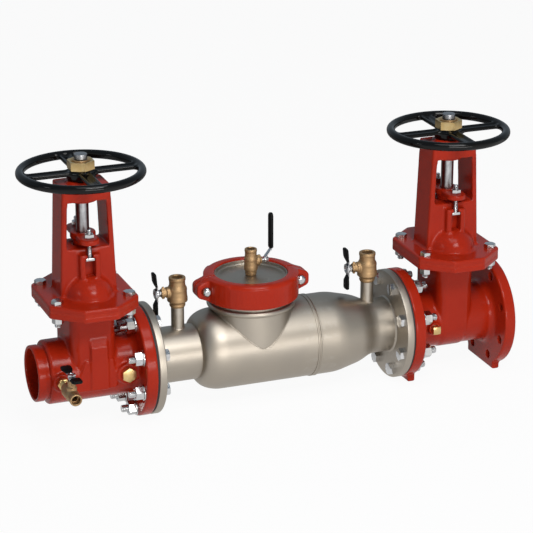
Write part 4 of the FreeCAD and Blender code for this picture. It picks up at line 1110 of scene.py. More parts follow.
@dataclass
class Fastenings:
    """Bolts, nuts and washers of the flange and bonnet joints."""

    shop: Workshop
    stems: Sequence[float]
    flange_thread: float = 15.875 * MM
    washer_t: float = 2.5 * MM
    count: int = 8
    bonnet_thread: float = 14 * MM
    bonnet_spacing: tuple[float, float] = (146 * MM, 124 * MM)
    gland_thread: float = 10 * MM
    gland_spacing: float = 88 * MM
    hook: tuple[float, float] = (9 * MM, 6.5 * MM)
    plate: tuple[float, float, float, float] = (90.7 * MM, 118.7 * MM, 33.9 * MM, 67.9 * MM)
    pocket: tuple[float, float] = (20.8 * MM, 56.8 * MM)

    def _lay(self, node: str, master: bpy.types.Object, places: Sequence[Matrix], layout: Layout,
             inputs: dict[str, float]) -> None:
        """Lay one fastener at both ends of the assembly.

        Args:
            node: The CAD node that the set replaces.
            master: The fastener.
            places: Placement of each set.
            layout: Circle or rows.
            inputs: Sizes of the layout by name.
        """
        sets = [self.shop.fasteners.laid(layout, master, place, inputs) for place in places]
        bpy.data.objects.remove(master)
        self.shop.seat(node + "_set", sets, "zinc", node)

    def _circle(self, node: str, master: bpy.types.Object, stations: Sequence[tuple[float, int]],
                spin: float) -> None:
        """Lay one fastener round both flange joints.

        Args:
            node: The CAD node that the set replaces.
            master: The fastener.
            stations: Place along the pipe of each joint's set, and the way that it faces.
            spin: Range of the fasteners' own turn.
        """
        places = [posed((x, 0, 0), "Y", way) for x, way in stations]
        sizes = {"Spin": spin, "Count": self.count, "Pitch Radius": BOLT_CIRCLE}
        self._lay(node, master, places, Layout.CIRCLE, sizes)

    def _rows(self, node: str, master: bpy.types.Object, z: float, quarters: int,
              spacing: tuple[float, float]) -> None:
        """Lay one fastener in rows at both valves.

        Args:
            node: The CAD node that the set replaces.
            master: The fastener.
            z: Height of the rows.
            quarters: Quarter turns of the fastener about X.
            spacing: Distance between rows along X and Y.
        """
        places = [posed((x, 0, z), "X", quarters) for x in self.stems]
        self._lay(node, master, places, Layout.ROWS,
                  {"Spin": 0.9, "Spacing X": spacing[0], "Spacing Y": spacing[1]})

    def flange_joints(self) -> None:
        """Dress the two bolted flange joints from the frame's own stations."""
        left_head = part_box("housing_inlet_flange")[1].x
        right_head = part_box("housing_outlet_flange")[0].x
        nut_low, nut_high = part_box("flange_washers")
        thread = self.flange_thread
        length = left_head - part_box("flange_bolts")[0].x
        bolt = HexPart(thread, 1.5 * thread, 10 * MM).bolt(length, 0.62 * length, 2 * MM)
        self._circle("flange_bolts", bolt, [(left_head, -1), (right_head, 1)], 0.3)
        wide = self.washer_t
        washer = turned(rounded([(0, thread / 2, 0), (0, 1.04 * thread, 0.6 * MM),
                                 (wide, 1.04 * thread, 0.6 * MM), (wide, thread / 2, 0)]), segments=40)
        self._circle("flange_washers", washer, [(nut_low.x + wide, -1), (nut_high.x - wide, 1)], 0.0)
        nut = HexPart(thread, 1.6 * thread, thread).nut()
        self._circle("flange_nuts", nut, [(nut_low.x, -1), (nut_high.x, 1)], 0.8)

    def bonnet_joints(self) -> None:
        """Dress the bonnet and gland bolting of both valves."""
        thread = self.bonnet_thread
        low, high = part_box("bonnet_bolts")
        top = high.z - 0.6 * thread
        bolt = HexPart(thread, 1.5 * thread, 0.6 * thread).bolt(top - low.z, 24 * MM, 2 * MM)
        self._rows("bonnet_bolts", bolt, top, 2, self.bonnet_spacing)
        nut = HexPart(thread, 1.5 * thread, 0.85 * thread).nut()
        self._rows("bonnet_nuts", nut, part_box("bonnet_nuts")[1].z, 2, self.bonnet_spacing)
        thread = self.gland_thread
        nut = HexPart(thread, 1.7 * thread, 0.9 * thread).nut()
        self._rows("gland_nuts", nut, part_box("gland_nuts")[0].z, 0, (0.0, self.gland_spacing))

    def hooked_bolts(self) -> None:
        """Hooked gland bolts: a forged cross head under a threaded shank."""
        low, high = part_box("gland_bolts")
        radius = self.gland_thread / 2
        half, tall = self.hook
        wide = radius + 0.5 * MM
        parts = []
        for x in self.stems:
            for y in (side * self.gland_spacing / 2 for side in SIDES):
                head = box_between((x - half, y - wide, low.z), (x + half, y + wide, low.z + tall))
                bevel = head.modifiers.new("edges", "BEVEL")
                bevel.width = 1.2 * MM
                bevel.segments = 3
                base = Vector((x, y, low.z + 3 * MM))
                parts += [settled(head), screw(radius, 1.5 * MM, high.z - low.z - 3 * MM, base, Z)]
        self.shop.seat("hooked_bolts", parts, "zinc", "gland_bolts")

    def bonnet_seals(self) -> None:
        """Painted seals that fill the bonnet joints nearly flush."""
        low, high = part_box("bonnet_gaskets")
        sunk = 2.2 * MM
        far_x, far_y, near_x, near_y = self.plate
        quarter = [(near_x, far_y), (far_x, near_y)]
        around = quarter + [(x, -y) for x, y in reversed(quarter)]
        around += [(-x, y) for x, y in reversed(around)]
        half_x, half_y = self.pocket
        hole = [(-half_x, -half_y), (half_x, -half_y), (half_x, half_y), (-half_x, half_y)]
        spacing_x, spacing_y = self.bonnet_spacing
        parts = []
        for x in self.stems:
            base = Vector((x, 0, low.z - sunk))
            rise = Z * (high.z - low.z + 2 * sunk)
            sheet = slab([(u, v, 8 * MM) for u, v in around], base, X, Y, rise)
            tools = [slab([(u, v, 5 * MM) for u, v in hole], base - rise, X, Y, 3 * rise)]
            tools += rods(four_places(x, (base - rise).z, spacing_x / 2, spacing_y / 2), Z,
                          self.bonnet_thread / 2 + 0.6 * MM, 3 * rise.length)
            parts.append(combined(sheet, merged(tools)))
        self.shop.seat("bonnet_seals", parts, "red_paint", "bonnet_gaskets")

    def build(self) -> None:
        """Build every fastening of the valves and flanges."""
        self.flange_joints()
        self.bonnet_joints()
        self.hooked_bolts()
        self.bonnet_seals()
        self.shop.keep("rubber", "flange_gaskets", "gland_packing")


@dataclass
class Housing:
    """Stainless body with its pipe ends, branch, seams and flanges."""

    shop: Workshop
    pipe_radius: float = 57.15 * MM
    barrel_radius: float = 84.15 * MM
    wall: float = 4 * MM
    cap_start: float = 341 * MM
    cap_run: float = 48 * MM
    reducer_start: float = 640 * MM
    reducer_end: float = 722 * MM
    seam_x: float = 588 * MM
    branch_radius: float = 82.5 * MM
    branch_top: float = 127 * MM
    bead_z: float = 86 * MM
    bead_height: float = 12 * MM
    bead_proud: float = 8.5 * MM
    weld_leg: float = 3 * MM
    ledge: float = 6 * MM
    joint_hole: float = 9 * MM
    lip: float = 2.2 * MM
    riser_radius: float = 13.35 * MM
    riser_bore: float = 9 * MM
    tee_bead: float = 1.3 * MM
    riser_bead: float = 1.6 * MM
    rings: int = 24

    def line(self, inset: float) -> list[tuple[float, float]]:
        """Outline of the housing along the pipe.

        Args:
            inset: How far it is drawn in from the outside.

        Returns:
            Points as (x, radius), closed along the axis.
        """
        low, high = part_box("housing")
        small = self.pipe_radius - min(inset, 3.05 * MM)
        large = self.barrel_radius - inset
        start = self.cap_start + inset
        points = [(low.x, 0.0), (low.x, small)]
        steps = 14
        for step in range(steps + 1):
            angle = math.pi / 2 * step / steps
            points.append((start + (self.cap_run - inset) * (1 - math.cos(angle)),
                           small + (large - small) * math.sin(angle)))
        run = self.reducer_end - self.reducer_start
        crown = self.cap_start + self.cap_run
        straight = self.reducer_start - run - crown
        points += [(crown + straight * step / self.rings, large) for step in range(1, self.rings)]
        drop = large - small
        bend = rounded([(self.reducer_start - run, large, 0),
                        (self.reducer_start, large, 1.4 * self.barrel_radius),
                        (self.reducer_start + 0.65 * run, large - 0.49 * drop, 1.2 * self.barrel_radius),
                        (self.reducer_end, small, 0.6 * self.barrel_radius),
                        (high.x, small, 0), (high.x, 0, 0)], 10)
        return points + [tuple(point) for point in bend]

    def weld(self, x: float, branch: float, pipe: float, bead: float) -> bpy.types.Object:
        """Weld where an upright branch meets a pipe.

        Args:
            x: Place of the branch.
            branch: Radius of the branch.
            pipe: Radius of the pipe.
            bead: Radius of the bead.

        Returns:
            The bead.
        """
        count = 144
        points = []
        for k in range(count):
            angle = 2 * math.pi * k / count
            y = branch * math.sin(angle)
            height = math.sqrt(max(0.0, pipe ** 2 - y ** 2))
            points.append(Vector((x + branch * math.cos(angle), y, height)))
        return self.shop.welding.along(points, bead)

    def branch(self) -> bpy.types.Object:
        """Upright branch with its stop bead.

        Returns:
            The solid branch.
        """
        radius = self.branch_radius
        proud = radius + self.bead_proud
        top = self.bead_z + self.bead_height
        turn = self.bead_height / 2.1
        wall = [(self.bead_z * step / self.rings, radius, 0) for step in range(self.rings + 1)]
        return turned(rounded([(0, 0, 0), *wall, (self.bead_z, proud, turn), (top, proud, turn),
                               (top, radius, 0), (self.branch_top, radius, 0),
                               (self.branch_top, 0, 0)]), X * TEE_X, Z, 160)

    def seam(self) -> bpy.types.Object:
        """Rolled seam round the barrel: two ridges with a groove between them.

        Returns:
            The ring of the seam.
        """
        top = self.barrel_radius + 1.6 * MM
        ridge = [(5.5 * MM, self.barrel_radius - MM, 0), (5.5 * MM, top, 0.8 * MM),
                 (2.4 * MM, top, 0.5 * MM), (0.9 * MM, self.barrel_radius + 0.05 * MM, 0)]
        near = [(self.seam_x - out, height, turn) for out, height, turn in ridge]
        far = [(self.seam_x + out, height, turn) for out, height, turn in reversed(ridge)]
        return turned(rounded(near + far), ORIGIN, X, 160)

    def shell(self) -> None:
        """Barrel, reducer and branch as one smooth shell, with its welds and inner ledges."""
        outer = turned(self.line(0.0), ORIGIN, X, 160)
        combined(outer, self.branch(), "UNION")
        combined(outer, self.seam(), "UNION")
        combined(outer, turned(self.line(self.wall), ORIGIN, X, 96))
        combined(outer, bar(X * TEE_X, Z, self.branch_radius - self.wall, 1.1 * self.branch_top, 96))
        low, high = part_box("housing")
        flange_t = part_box("housing_inlet_flange")[1].x - low.x
        leg = self.weld_leg
        pipe = self.pipe_radius
        parts = [outer, self.weld(TEE_X, self.branch_radius, self.barrel_radius, self.tee_bead)]
        for face, way in ((low.x + flange_t, 1), (high.x - flange_t, -1)):
            parts.append(turned([(face, pipe - MM), (face, pipe + leg),
                                 (face + 0.4 * way * leg, pipe + 0.45 * leg), (face + way * leg, pipe),
                                 (face + way * leg, pipe - MM)], ORIGIN, X, 128))
        inner = self.barrel_radius - self.wall
        for node in ("check_1_seat", "check_2_seat"):
            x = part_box(node)[0].x + 10 * MM
            parts.append(tube(ORIGIN, X, (x, x + self.ledge), (inner - self.ledge, inner + MM)))
        self.shop.seat("housing_shell", parts, "stainless", "housing")

    def flange(self, node: str) -> None:
        """Turned steel flange with its bolt holes and a rounded lip on its rim.

        Args:
            node: CAD node of the flange.
        """
        low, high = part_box(node)
        radius = (high.z - low.z) / 2
        inner = self.pipe_radius + 0.05 * MM
        ring = turned(rounded([(low.x, inner, 0), (low.x, radius, self.lip), (high.x, radius, self.lip),
                               (high.x, inner, 0)]), ORIGIN, X, 192)
        depth = high.x - low.x + 2 * MM
        holes = [bar(place, X, self.joint_hole, depth, 32) for place in circle_places(low.x - MM)]
        self.shop.seat(node + "_ring", [combined(ring, merged(holes))], "stainless", node)

    def risers(self) -> None:
        """Nipples under the riser cocks, welded to the pipe."""
        low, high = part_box("riser_nipples")
        foot = self.pipe_radius - 8 * MM
        parts = []
        for x in (low.x + self.riser_radius + 3 * MM, high.x - self.riser_radius - 3 * MM):
            parts.append(tube(X * x, Z, (foot, high.z), (self.riser_bore, self.riser_radius), 64))
            parts.append(self.weld(x, self.riser_radius, self.pipe_radius, self.riser_bead))
        self.shop.seat("riser_tubes", parts, "stainless", "riser_nipples")

    def build(self) -> None:
        """Build and dress the housing and what is welded to it."""
        self.shell()
        self.flange("housing_inlet_flange")
        self.flange("housing_outlet_flange")
        self.risers()


@dataclass
class ClampedCover:
    """Cover plate, its seal and the two-piece coupling round them."""

    shop: Workshop
    ring_radius: float = 97.4 * MM
    ring_low: float = 105.6 * MM
    ring_top: float = 157 * MM
    lug_face: float = 17.2 * MM
    lug_reach: float = 121 * MM
    bolt_radius: float = 6 * MM
    head: float = 9 * MM
    head_radius: float = 10 * MM
    head_proud: float = 2 * MM
    bolt_shift: float = 4 * MM
    mouth_radius: float = 74.7 * MM
    rim_t: float = 2 * MM
    step_z: float = 147.9 * MM
    floor_z: float = 145.5 * MM
    dome: float = 3.5 * MM
    cock_bore: float = 8.05 * MM

    def plate(self) -> None:
        """Dished stainless plate with its upstanding rim and inner bead."""
        low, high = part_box("access_cover")
        rim = self.mouth_radius - 0.3 * MM
        inner = rim - self.rim_t
        step = self.step_z
        wide = (high.x - low.x) / 2
        floor = self.floor_z
        outline = [(floor - 6 * MM, self.cock_bore, 0), (floor - 9 * MM, rim - 9 * MM, 6 * MM),
                   (low.z, rim - 3 * MM, 0.8 * MM), (low.z, wide, 0.8 * MM), (step, wide, 0.8 * MM),
                   (step, rim, 0), (high.z, rim, 0.7 * MM), (high.z, inner, 0.7 * MM),
                   (floor, inner, 3.5 * MM), (floor - 0.8 * MM, inner - 7 * MM, 2 * MM),
                   (floor + 0.8 * self.dome, rim / 2, 30 * MM), (floor + self.dome, self.cock_bore, 0)]
        plate = turned(rounded(outline), X * TEE_X, Z, 160)
        self.shop.seat("cover_plate", [plate], "stainless", "access_cover")

    def bolts(self) -> None:
        """Track bolts with domed heads, and their nuts behind."""
        low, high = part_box("coupling_bolts")
        nut_low, nut_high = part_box("coupling_nuts")
        middle = (low.z + high.z) / 2
        head = self.head
        radius = self.bolt_radius
        reach = (high.x - low.x) / 2 - head - self.bolt_shift
        dome = rounded([(-self.head_proud, 0, 0),
                        (-self.head_proud, self.head_radius, 0.62 * (head + self.head_proud)),
                        (head, self.head_radius, 0), (head, 0, 0)], 10)
        length = high.y - low.y - head
        plain = 0.6 * length
        bolts = []
        nuts = []
        for way in SIDES:
            start = Vector((TEE_X + way * reach, low.y, middle))
            bolts += [turned(dome, start, Y, 48), bar(start + Y * head, Y, radius, plain, 28),
                      screw(radius, 1.75 * MM, length - plain, start + Y * (head + plain), Y)]
            nut = HexPart(2 * radius, 3 * radius, nut_high.y - nut_low.y).nut()
            nuts.append(moved(nut, posed((start.x, nut_low.y, middle), "X", -1)))
        self.shop.seat("track_bolts", bolts, "chrome", "coupling_bolts")
        self.shop.seat("track_nuts", nuts, "zinc", "coupling_nuts")

    def half(self, node: str, side: int) -> None:
        """One half of the clamp: a round ring with a short ear at each bolt.

        Args:
            node: CAD node of the half.
            side: -1 at the camera side, 1 behind.
        """
        top = self.ring_top
        foot = self.ring_low - 2 * MM
        ring = bar(Vector((TEE_X, 0, foot)) - Z * MM, Z, self.ring_radius, top - self.ring_low + 6 * MM)
        near, far = sorted((side * self.lug_face, side * self.ring_radius))
        reach = self.lug_reach + 5 * MM
        web = box_between((TEE_X - reach, near, foot), (TEE_X + reach, far, top + 2 * MM))
        mark = self.lug_reach
        line = [(-mark + 38 * MM, top - 14 * MM, 0), (-mark + 33 * MM, top - MM, 4 * MM),
                (-mark + 23 * MM, top - 1.5 * MM, 8 * MM), (-mark + 4 * MM, top - 11 * MM, 5 * MM),
                (-mark + 4 * MM, top - 18 * MM, 0)]
        ridge = slab(line, Vector((TEE_X, side * 2.2 * MM, 0)), X, Z, Y * side * 5 * MM)
        self.shop.cast(node, "red_paint", (4, 0.9, 1.0), [ridge], (), [combined(web, ring)])

    def build(self) -> None:
        """Build and dress the cover and its clamp."""
        self.plate()
        self.half("coupling_front_half", -1)
        self.half("coupling_rear_half", 1)
        self.bolts()
        self.shop.keep("rubber", "cover_gasket")


@dataclass
class TestCock:
    """Small ball valve. Flow runs along its own Z and its stem along its own X."""

    shop: Workshop
    number: int
    origin: Sequence[float]
    flow: Vector
    stem: Vector
    length: float
    centre: float
    body_radius: float
    end_radius: float
    bore: float
    stem_reach: float
    spigot: float = 0.0
    spigot_radius: float = 8 * MM
    half_span: float = 45 * MM
    half_width: float = 11 * MM
    bow: float = 3.2 * MM
    lever_half: float = 6 * MM
    lever_out: float = 12 * MM
    blade_half: float = 1.25 * MM
    grip_half: float = 4.4 * MM

    def node(self, piece: str) -> str:
        """Name of one of this cock's CAD nodes."""
        return "test_cock_" + str(self.number) + "_" + piece

    @property
    def stem_radius(self) -> float:
        """Radius of the stem."""
        return 0.45 * self.bore

    def seat(self, piece: str, parts: Sequence[bpy.types.Object], slot: str, node: str) -> None:
        """Turn parts from the cock's own axes to its place in the assembly, and seat them.

        Args:
            piece: Last part of the piece's name.
            parts: The meshes.
            slot: Name of their finish.
            node: Last part of the CAD node's name.
        """
        turn = Matrix((self.stem, self.flow.cross(self.stem), self.flow)).transposed().to_4x4()
        placed = moved(merged(parts), Matrix.Translation(self.origin) @ turn)
        self.shop.seat(self.node(piece), [placed], slot, self.node(node))

    def outline(self) -> list[Corner]:
        """Outline from the foot collar over the bulge and the shoulder to the open end.

        Returns:
            Distance along the flow, radius and rounding of each corner.
        """
        end = self.end_radius
        wide = self.body_radius
        steps = [(0.0, 0.0, 0), (0.0, 0.84 * end, 1.2), (0.075, 0.97 * end, 1.0), (0.10, 0.92 * end, 1.0),
                 (0.155, 0.95 * end, 1.0), (0.21, wide, 2.0), (0.34, 0.985 * wide, 1.5),
                 (0.37, 0.955 * wide, 1.5), (0.55, 0.925 * wide, 1.0), (0.57, 0.95 * wide, 1.0),
                 (0.64, 0.94 * wide, 2.0), (0.73, 0.955 * end, 2.5), (0.87, 0.94 * end, 1.5),
                 (0.90, end, 1.2), (1.0, end, 1.4), (1.0, 0.0, 0)]
        return [(self.length * along, radius, turn * MM) for along, radius, turn in steps]

    def body(self) -> None:
        """Cast body with its banded bulge, the stem boss and the stops on it."""
        boss_radius = self.stem_radius + 4 * MM
        boss_end = self.stem_reach - 7 * MM
        shell = turned(rounded(self.outline()), ORIGIN, Z, 72)
        boss = bar(Z * self.centre, X, boss_radius, boss_end, 40)
        near = self.body_radius - 2 * MM
        far = near + 5 * MM
        wide = boss_radius + 2.5 * MM
        collar = turned([(near, 0), (near, wide), (far, wide), (far, 0)], Z * self.centre, X, 40)
        reach = boss_radius + 4 * MM
        ears = box_between((boss_end - 7.5 * MM, -2.5 * MM, self.centre - reach),
                           (boss_end - 2.5 * MM, 2.5 * MM, self.centre + reach))
        for part in (boss, collar, ears):
            combined(shell, part, "UNION")
        inner = self.length - 0.2 * self.length
        mouth = self.length - 1.2 * MM
        end = self.length + MM
        narrow = 0.8 * self.bore
        low = -MM - self.spigot
        tool = turned(rounded([(low, 0, 0), (low, narrow, 0), (inner, narrow, 0), (inner, self.bore, 0),
                               (mouth, self.bore, 0), (end, self.bore + 2 * MM, 0), (end, 0, 0)]),
                      ORIGIN, Z, 64)
        parts = [combined(self.shop.casting.over(shell, 1.6 * MM, 0.6 * MM, 0.65 * MM), tool)]
        if self.spigot:
            parts.append(tube(ORIGIN, Z, (-self.spigot, MM), (0.6 * self.bore, self.spigot_radius), 48))
        self.seat("shell", parts, "bronze", "body")
        self.shop.keep("chrome", self.node("ball"))

    def nut(self, height: float, place: Vector) -> bpy.types.Object:
        """Handle nut on the stem."""
        nut = HexPart(2 * self.stem_radius, 4 * self.stem_radius, height).nut()
        return moved(nut, posed(place, "Y"))

    def butterfly(self, lean: float = 0.0) -> None:
        """Pressed two-winged handle, dipped at both ends, with its nut.

        Args:
            lean: How far the tip of the first wing leans outwards.
        """
        base = Vector((self.stem_reach + 1.2 * MM, 0, self.centre))
        span = self.half_span
        line = [(0.26, 0.0), (0.34, 0.15), (0.48, 0.8), (0.55, 0.9)]
        line = [(-s, o) for s, o in reversed(line)] + line
        plate = ribbon([(span * s, self.bow * o, 0.6 * self.half_width, 1.1 * MM) for s, o in line],
                       base, Z, X)
        hub_radius = 1.7 * self.stem_radius + MM
        hub = turned(rounded([(-2.5 * MM, 0, 0), (-2.5 * MM, hub_radius, MM), (1.6 * MM, hub_radius, MM),
                              (1.6 * MM, 0, 0)]), base, X, 32)
        cone = turned([(-6 * MM, 0), (-6 * MM, self.stem_radius + 2.5 * MM),
                       (-2 * MM, self.stem_radius + 0.5 * MM), (-2 * MM, 0)], base, X, 32)
        nut = self.nut(3.6 * MM, base + X * 1.4 * MM)
        self.seat("pressing", [plate, hub, cone, nut], "chrome", "handle")
        stations = [(0.29, 0.05, 0.45, 1.4), (0.32, 0.12, 0.56, 2.0), (0.40, 0.45, 0.66, 2.5),
                    (0.50, 0.85, 0.82, 2.9), (0.58, 1.0, 0.97, 3.0), (0.64, 1.0, 1.0, 3.0),
                    (0.90, 1.0, 1.0, 3.0), (0.95, 1.0, 0.93, 2.9), (0.98, 1.0, 0.78, 2.6),
                    (1.0, 1.0, 0.5, 1.8)]
        wings = []
        for way, tip in ((-1, 0.0), (1, lean)):
            line = [(way * span * s, self.bow * o + tip * max(0.0, s - 0.3) / 0.7,
                     self.half_width * w, t * MM) for s, o, w, t in stations]
            wings.append(ribbon(line, base, Z, X))
        self.seat("wings", wings, "black_vinyl", "handle")

    def lever(self) -> None:
        """Cranked lever with its nut, and the vinyl sleeve over its tang."""
        base = Vector((self.stem_reach, 0, self.centre))
        half = self.lever_half
        flat = self.blade_half
        path = [(-6, 0.0), (-2, 0.0), (4, 0.0), (7, 0.06), (20, 0.92), (23, 1.0), (60, 1.0), (93, 1.0)]
        blade = ribbon([(z * MM, flat + self.lever_out * o, half, flat) for z, o in path], base, Z, X)
        eye = turned(rounded([(-1.5 * MM, 0, 0), (-1.5 * MM, 1.15 * half, 0.5 * MM),
                              (2.5 * MM, 1.15 * half, 0.5 * MM), (2.5 * MM, 0, 0)]), base, X, 32)
        self.seat("blade", [blade, eye, self.nut(3.5 * MM, base + X * 2.5 * MM)], "chrome", "handle")
        stations = [(23.5, 0.8, 0.7), (24.5, 0.96, 0.9), (26, 1.0, 1.0), (91, 1.0, 1.0), (95, 0.86, 0.95),
                    (97.4, 0.6, 0.8), (98.4, 0.25, 0.5)]
        sleeve = ribbon([(z * MM, flat + self.lever_out, (half + 1.5 * MM) * w, self.grip_half * t)
                         for z, w, t in stations], base, Z, X)
        self.seat("sleeve", [sleeve], "black_vinyl", "grip")


@dataclass
class TestCocks:
    """The four test cocks, the plugs and the nipple on the inlet valve."""

    shop: Workshop
    inlet_plug: tuple[float, float, int] = (22 * MM, 27 * MM, 6)
    outlet_plug: tuple[float, float, int] = (19 * MM, 16 * MM, 4)
    boss_y: float = -70 * MM
    inlet_x: float = 44.9 * MM
    riser_inset: float = 16.35 * MM
    cover_z: float = 149 * MM

    def risers(self) -> None:
        """Cocks two and four on their nipples."""
        low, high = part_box("riser_nipples")
        for number, x in ((2, low.x + self.riser_inset), (4, high.x - self.riser_inset)):
            cock = TestCock(self.shop, number, (x, 0, high.z), Z, -X, length=64 * MM, centre=33 * MM,
                            body_radius=21 * MM, end_radius=17.2 * MM, bore=11 * MM, stem_reach=42 * MM)
            cock.body()
            cock.butterfly(lean=3 * MM)

    def inlet(self) -> None:
        """Cock one on the inlet valve's boss, pointing at the camera side."""
        x = self.inlet_x
        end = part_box("test_cock_1_body")[1].y
        cock = TestCock(self.shop, 1, (x, end, 0), -Y, Z, length=70 * MM, centre=40 * MM,
                        body_radius=14.5 * MM, end_radius=12.4 * MM, bore=8.7 * MM, stem_reach=38 * MM)
        cock.body()
        cock.butterfly()
        hexagon = moved(HexPart(18 * MM, 22 * MM, 9 * MM).head(True), posed((x, self.boss_y, 0), "X"))
        rod = screw(9 * MM, 1.8 * MM, 34 * MM, Vector((x, self.boss_y + 12 * MM, 0)), -Y, 32)
        self.shop.seat("test_nipple", [hexagon, rod], "brass", "inlet_test_nipple")

    def cover(self) -> None:
        """Cock three on the cover."""
        cock = TestCock(self.shop, 3, (TEE_X, 0, self.cover_z), Z, X, length=56 * MM, centre=29 * MM,
                        body_radius=14.2 * MM, end_radius=12.75 * MM, bore=8 * MM, stem_reach=30 * MM,
                        spigot=10 * MM)
        cock.body()
        cock.lever()

    def plugs(self) -> None:
        """Plugs in the valve bodies: a wide hexagon one at the inlet and a square one at the outlet."""
        low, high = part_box("body_plugs")
        parts = []
        ends = ((low.x, 1, self.inlet_plug), (high.x, -1, self.outlet_plug))
        for edge, way, (cad_across, across, sides) in ends:
            x = edge + way * cad_across / math.sqrt(3)
            head = HexPart(0.9 * across, across, 10 * MM, sides=sides).head()
            parts.append(moved(head, posed((x, self.boss_y, 0), "X") @ posed(ORIGIN, "Z")))
            parts.append(screw(0.45 * cad_across, 1.8 * MM, 17 * MM, Vector((x, self.boss_y, 0)), Y, 32))
        self.shop.seat("plug_heads", parts, "brass", "body_plugs")

    def build(self) -> None:
        """Build and dress every cock and plug."""
        self.risers()
        self.inlet()
        self.cover()
        self.plugs()


@dataclass
class CheckValves:
    """The two check valves inside the housing, kept from the CAD."""

    shop: Workshop

    def build(self) -> None:
        """Dress every inner piece."""
        for name in ("check_1_", "check_2_"):
            self.shop.keep("stainless", name + "seat", name + "clapper", name + "spring")
            self.shop.keep("rubber", name + "disc")
        self.shop.keep("stainless", "check_hinge_pins")


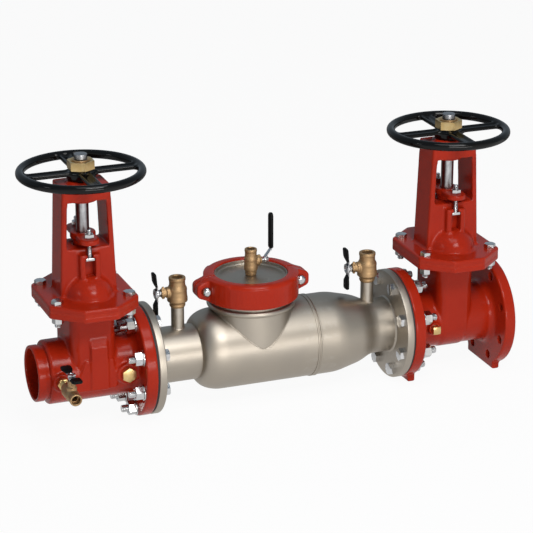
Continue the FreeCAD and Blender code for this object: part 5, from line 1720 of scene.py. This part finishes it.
@dataclass
class Studio:
    """Pale floor, soft lamps and the camera at the photograph's angle."""

    camera_place: Vector = field(default_factory=lambda: Vector((-1.0268, -3.9556, 1.6874)))
    target: Vector = field(default_factory=lambda: Vector((0.500161, 0.0, 0.161543)))
    lens: float = 149.48
    floor_size: float = 14.0
    floor_colour: tuple[float, float, float, float] = (0.86, 0.86, 0.86, 1)
    floor_white: float = 0.94
    mirrored_share: float = 0.9
    # Glow levels of the floor as seen in reflections: full in front, dimmer near the object and behind it,
    # which is painted shade.
    front_white: float = 1.0
    near_white: float = 0.80
    far_share: float = 0.25
    ambient: float = 0.22
    overhead: float = 0.38
    camera_side: float = 0.95
    behind: float = 0.40
    cool: tuple[float, float, float] = (0.74, 0.87, 1.0)
    warm: tuple[float, float, float] = (1.0, 0.95, 0.88)

    def floor(self) -> None:
        """White floor that keeps a faint shadow and looks white to the camera. To glossy rays it glows full
        in front and dimmer near and behind the object, which is painted shade in reflections.
        """
        bm = bmesh.new()
        bmesh.ops.create_grid(bm, x_segments=1, y_segments=1, size=self.floor_size)
        for vert in bm.verts:
            vert.co.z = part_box("outlet_valve_body")[0].z
        floor = new_object(bm)
        floor.name = "floor"
        material = bpy.data.materials.new("floor")
        graph = Graph.cleared(material)
        plain = graph.make("ShaderNodeBsdfPrincipled", {"Base Color": self.floor_colour, "Roughness": 0.9})
        place = graph.make("ShaderNodeNewGeometry").outputs["Position"]
        depth = graph.make("ShaderNodeSeparateXYZ", {0: place}).outputs["Y"]
        # Painted shade in reflections: the floor's glow is dimmed near the object and falls off further
        # behind it.
        painted_shade_near = graph.ramp(depth, (-0.40, -0.05), (self.front_white, self.near_white))
        painted_shade_behind = graph.ramp(depth, (0.0, 0.4), (1.0, self.far_share))
        direct = graph.make("ShaderNodeLightPath").outputs["Is Camera Ray"]
        strength = graph.mix(direct, graph.math("MULTIPLY", painted_shade_near, painted_shade_behind), 1.0)
        white = graph.make("ShaderNodeEmission", {"Color": WHITE, "Strength": strength})
        share = self.seen_share(graph, self.floor_white, self.mirrored_share)
        mix = graph.make("ShaderNodeMixShader", {0: share, 1: plain, 2: white})
        graph.make("ShaderNodeOutputMaterial", {"Surface": mix})
        floor.data.materials.append(material)

    @staticmethod
    def seen_share(graph: Graph, straight: float, mirrored: float) -> bpy.types.NodeSocket:
        """Share of a background's own white, by the kind of ray.

        Args:
            graph: The tree that it is added to.
            straight: Share for camera rays.
            mirrored: Share for rays off shiny surfaces and through clear ones.

        Returns:
            The output socket with the share.
        """
        rays = graph.make("ShaderNodeLightPath").outputs
        direct = graph.math("MULTIPLY", rays["Is Camera Ray"], straight)
        other = graph.math("MAXIMUM", rays["Is Glossy Ray"], rays["Is Transmission Ray"])
        return graph.math("MAXIMUM", direct, graph.math("MULTIPLY", other, mirrored))

    def world(self) -> None:
        """Surroundings: white to the camera, mirrored warm on its own side and cooler behind."""
        world = bpy.data.worlds.new("surroundings")
        bpy.context.scene.world = world
        graph = Graph.cleared(world)
        way = graph.make("ShaderNodeTexCoord").outputs["Generated"]
        parts = graph.make("ShaderNodeSeparateXYZ", {0: way}).outputs
        facing_camera = graph.ramp(parts["Y"], (-0.30, -0.92))
        level = graph.mix(facing_camera, self.behind, self.camera_side)
        shade = graph.mix(graph.ramp(parts["Z"], (0.15, 0.7)), level, self.overhead)
        direct = graph.make("ShaderNodeLightPath").outputs["Is Camera Ray"]
        seen = graph.math("MAXIMUM", direct, shade)
        strength = graph.mix(self.seen_share(graph, 1.0, 1.0), self.ambient, seen)
        colour = graph.blend(direct, graph.blend(facing_camera, (*self.cool, 1), (*self.warm, 1)), WHITE)
        sky = graph.make("ShaderNodeBackground", {"Color": colour, "Strength": strength})
        graph.make("ShaderNodeOutputWorld", {"Surface": sky})

    def aimed(self, name: str, data: bpy.types.ID, place: Sequence[float]) -> bpy.types.Object:
        """Add a lamp or camera that points at the target.

        Args:
            name: Its name.
            data: The lamp's or camera's data.
            place: Where it stands.

        Returns:
            The object.
        """
        obj = linked(name, data)
        obj.location = place
        obj.rotation_euler = (self.target - Vector(place)).to_track_quat("-Z", "Y").to_euler()
        return obj

    def lamp(self, name: str, place: Sequence[float], size: tuple[float, float], power: float) -> None:
        """Add a soft lamp.

        Args:
            name: Name of the lamp.
            place: Where it stands.
            size: Width and height of its panel.
            power: Its power in watts.
        """
        light = bpy.data.lights.new(name, "AREA")
        light.shape = "RECTANGLE"
        light.size, light.size_y = size
        light.energy = power
        self.aimed(name, light, place)

    def camera(self) -> None:
        """Set the camera at the photograph's place and angle."""
        data = bpy.data.cameras.new("camera")
        data.lens = self.lens
        data.sensor_width = 36.0
        data.clip_end = 60.0
        bpy.context.scene.camera = self.aimed("camera", data, self.camera_place)

    def build(self) -> None:
        """Set up the whole studio."""
        bpy.context.scene.view_settings.view_transform = "Standard"
        self.floor()
        self.world()
        self.lamp("key", (0.6, -2.35, 2.6), (1.5, 0.8), 47)
        self.lamp("high", (0.5, -1.0, 2.9), (1.8, 0.9), 20)
        self.lamp("front", (0.55, -3.3, 0.35), (2.2, 0.7), 34)
        self.lamp("fill", (-2.9, -0.6, 1.7), (0.6, 0.6), 4)
        self.camera()


def main() -> None:
    """Build the assembly's parts in order."""
    logging.basicConfig(level=logging.INFO, format="%(name)s: %(message)s")
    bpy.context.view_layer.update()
    Studio().build()
    shop = Workshop(FINISHES)
    valves = [GateValve(shop, "inlet", True), GateValve(shop, "outlet", False)]
    for valve in valves:
        valve.build()
    Fastenings(shop, [valve.stem_x for valve in valves]).build()
    for part in (Housing, ClampedCover, TestCocks, CheckValves):
        part(shop).build()


if __name__ == "__main__":
    main()
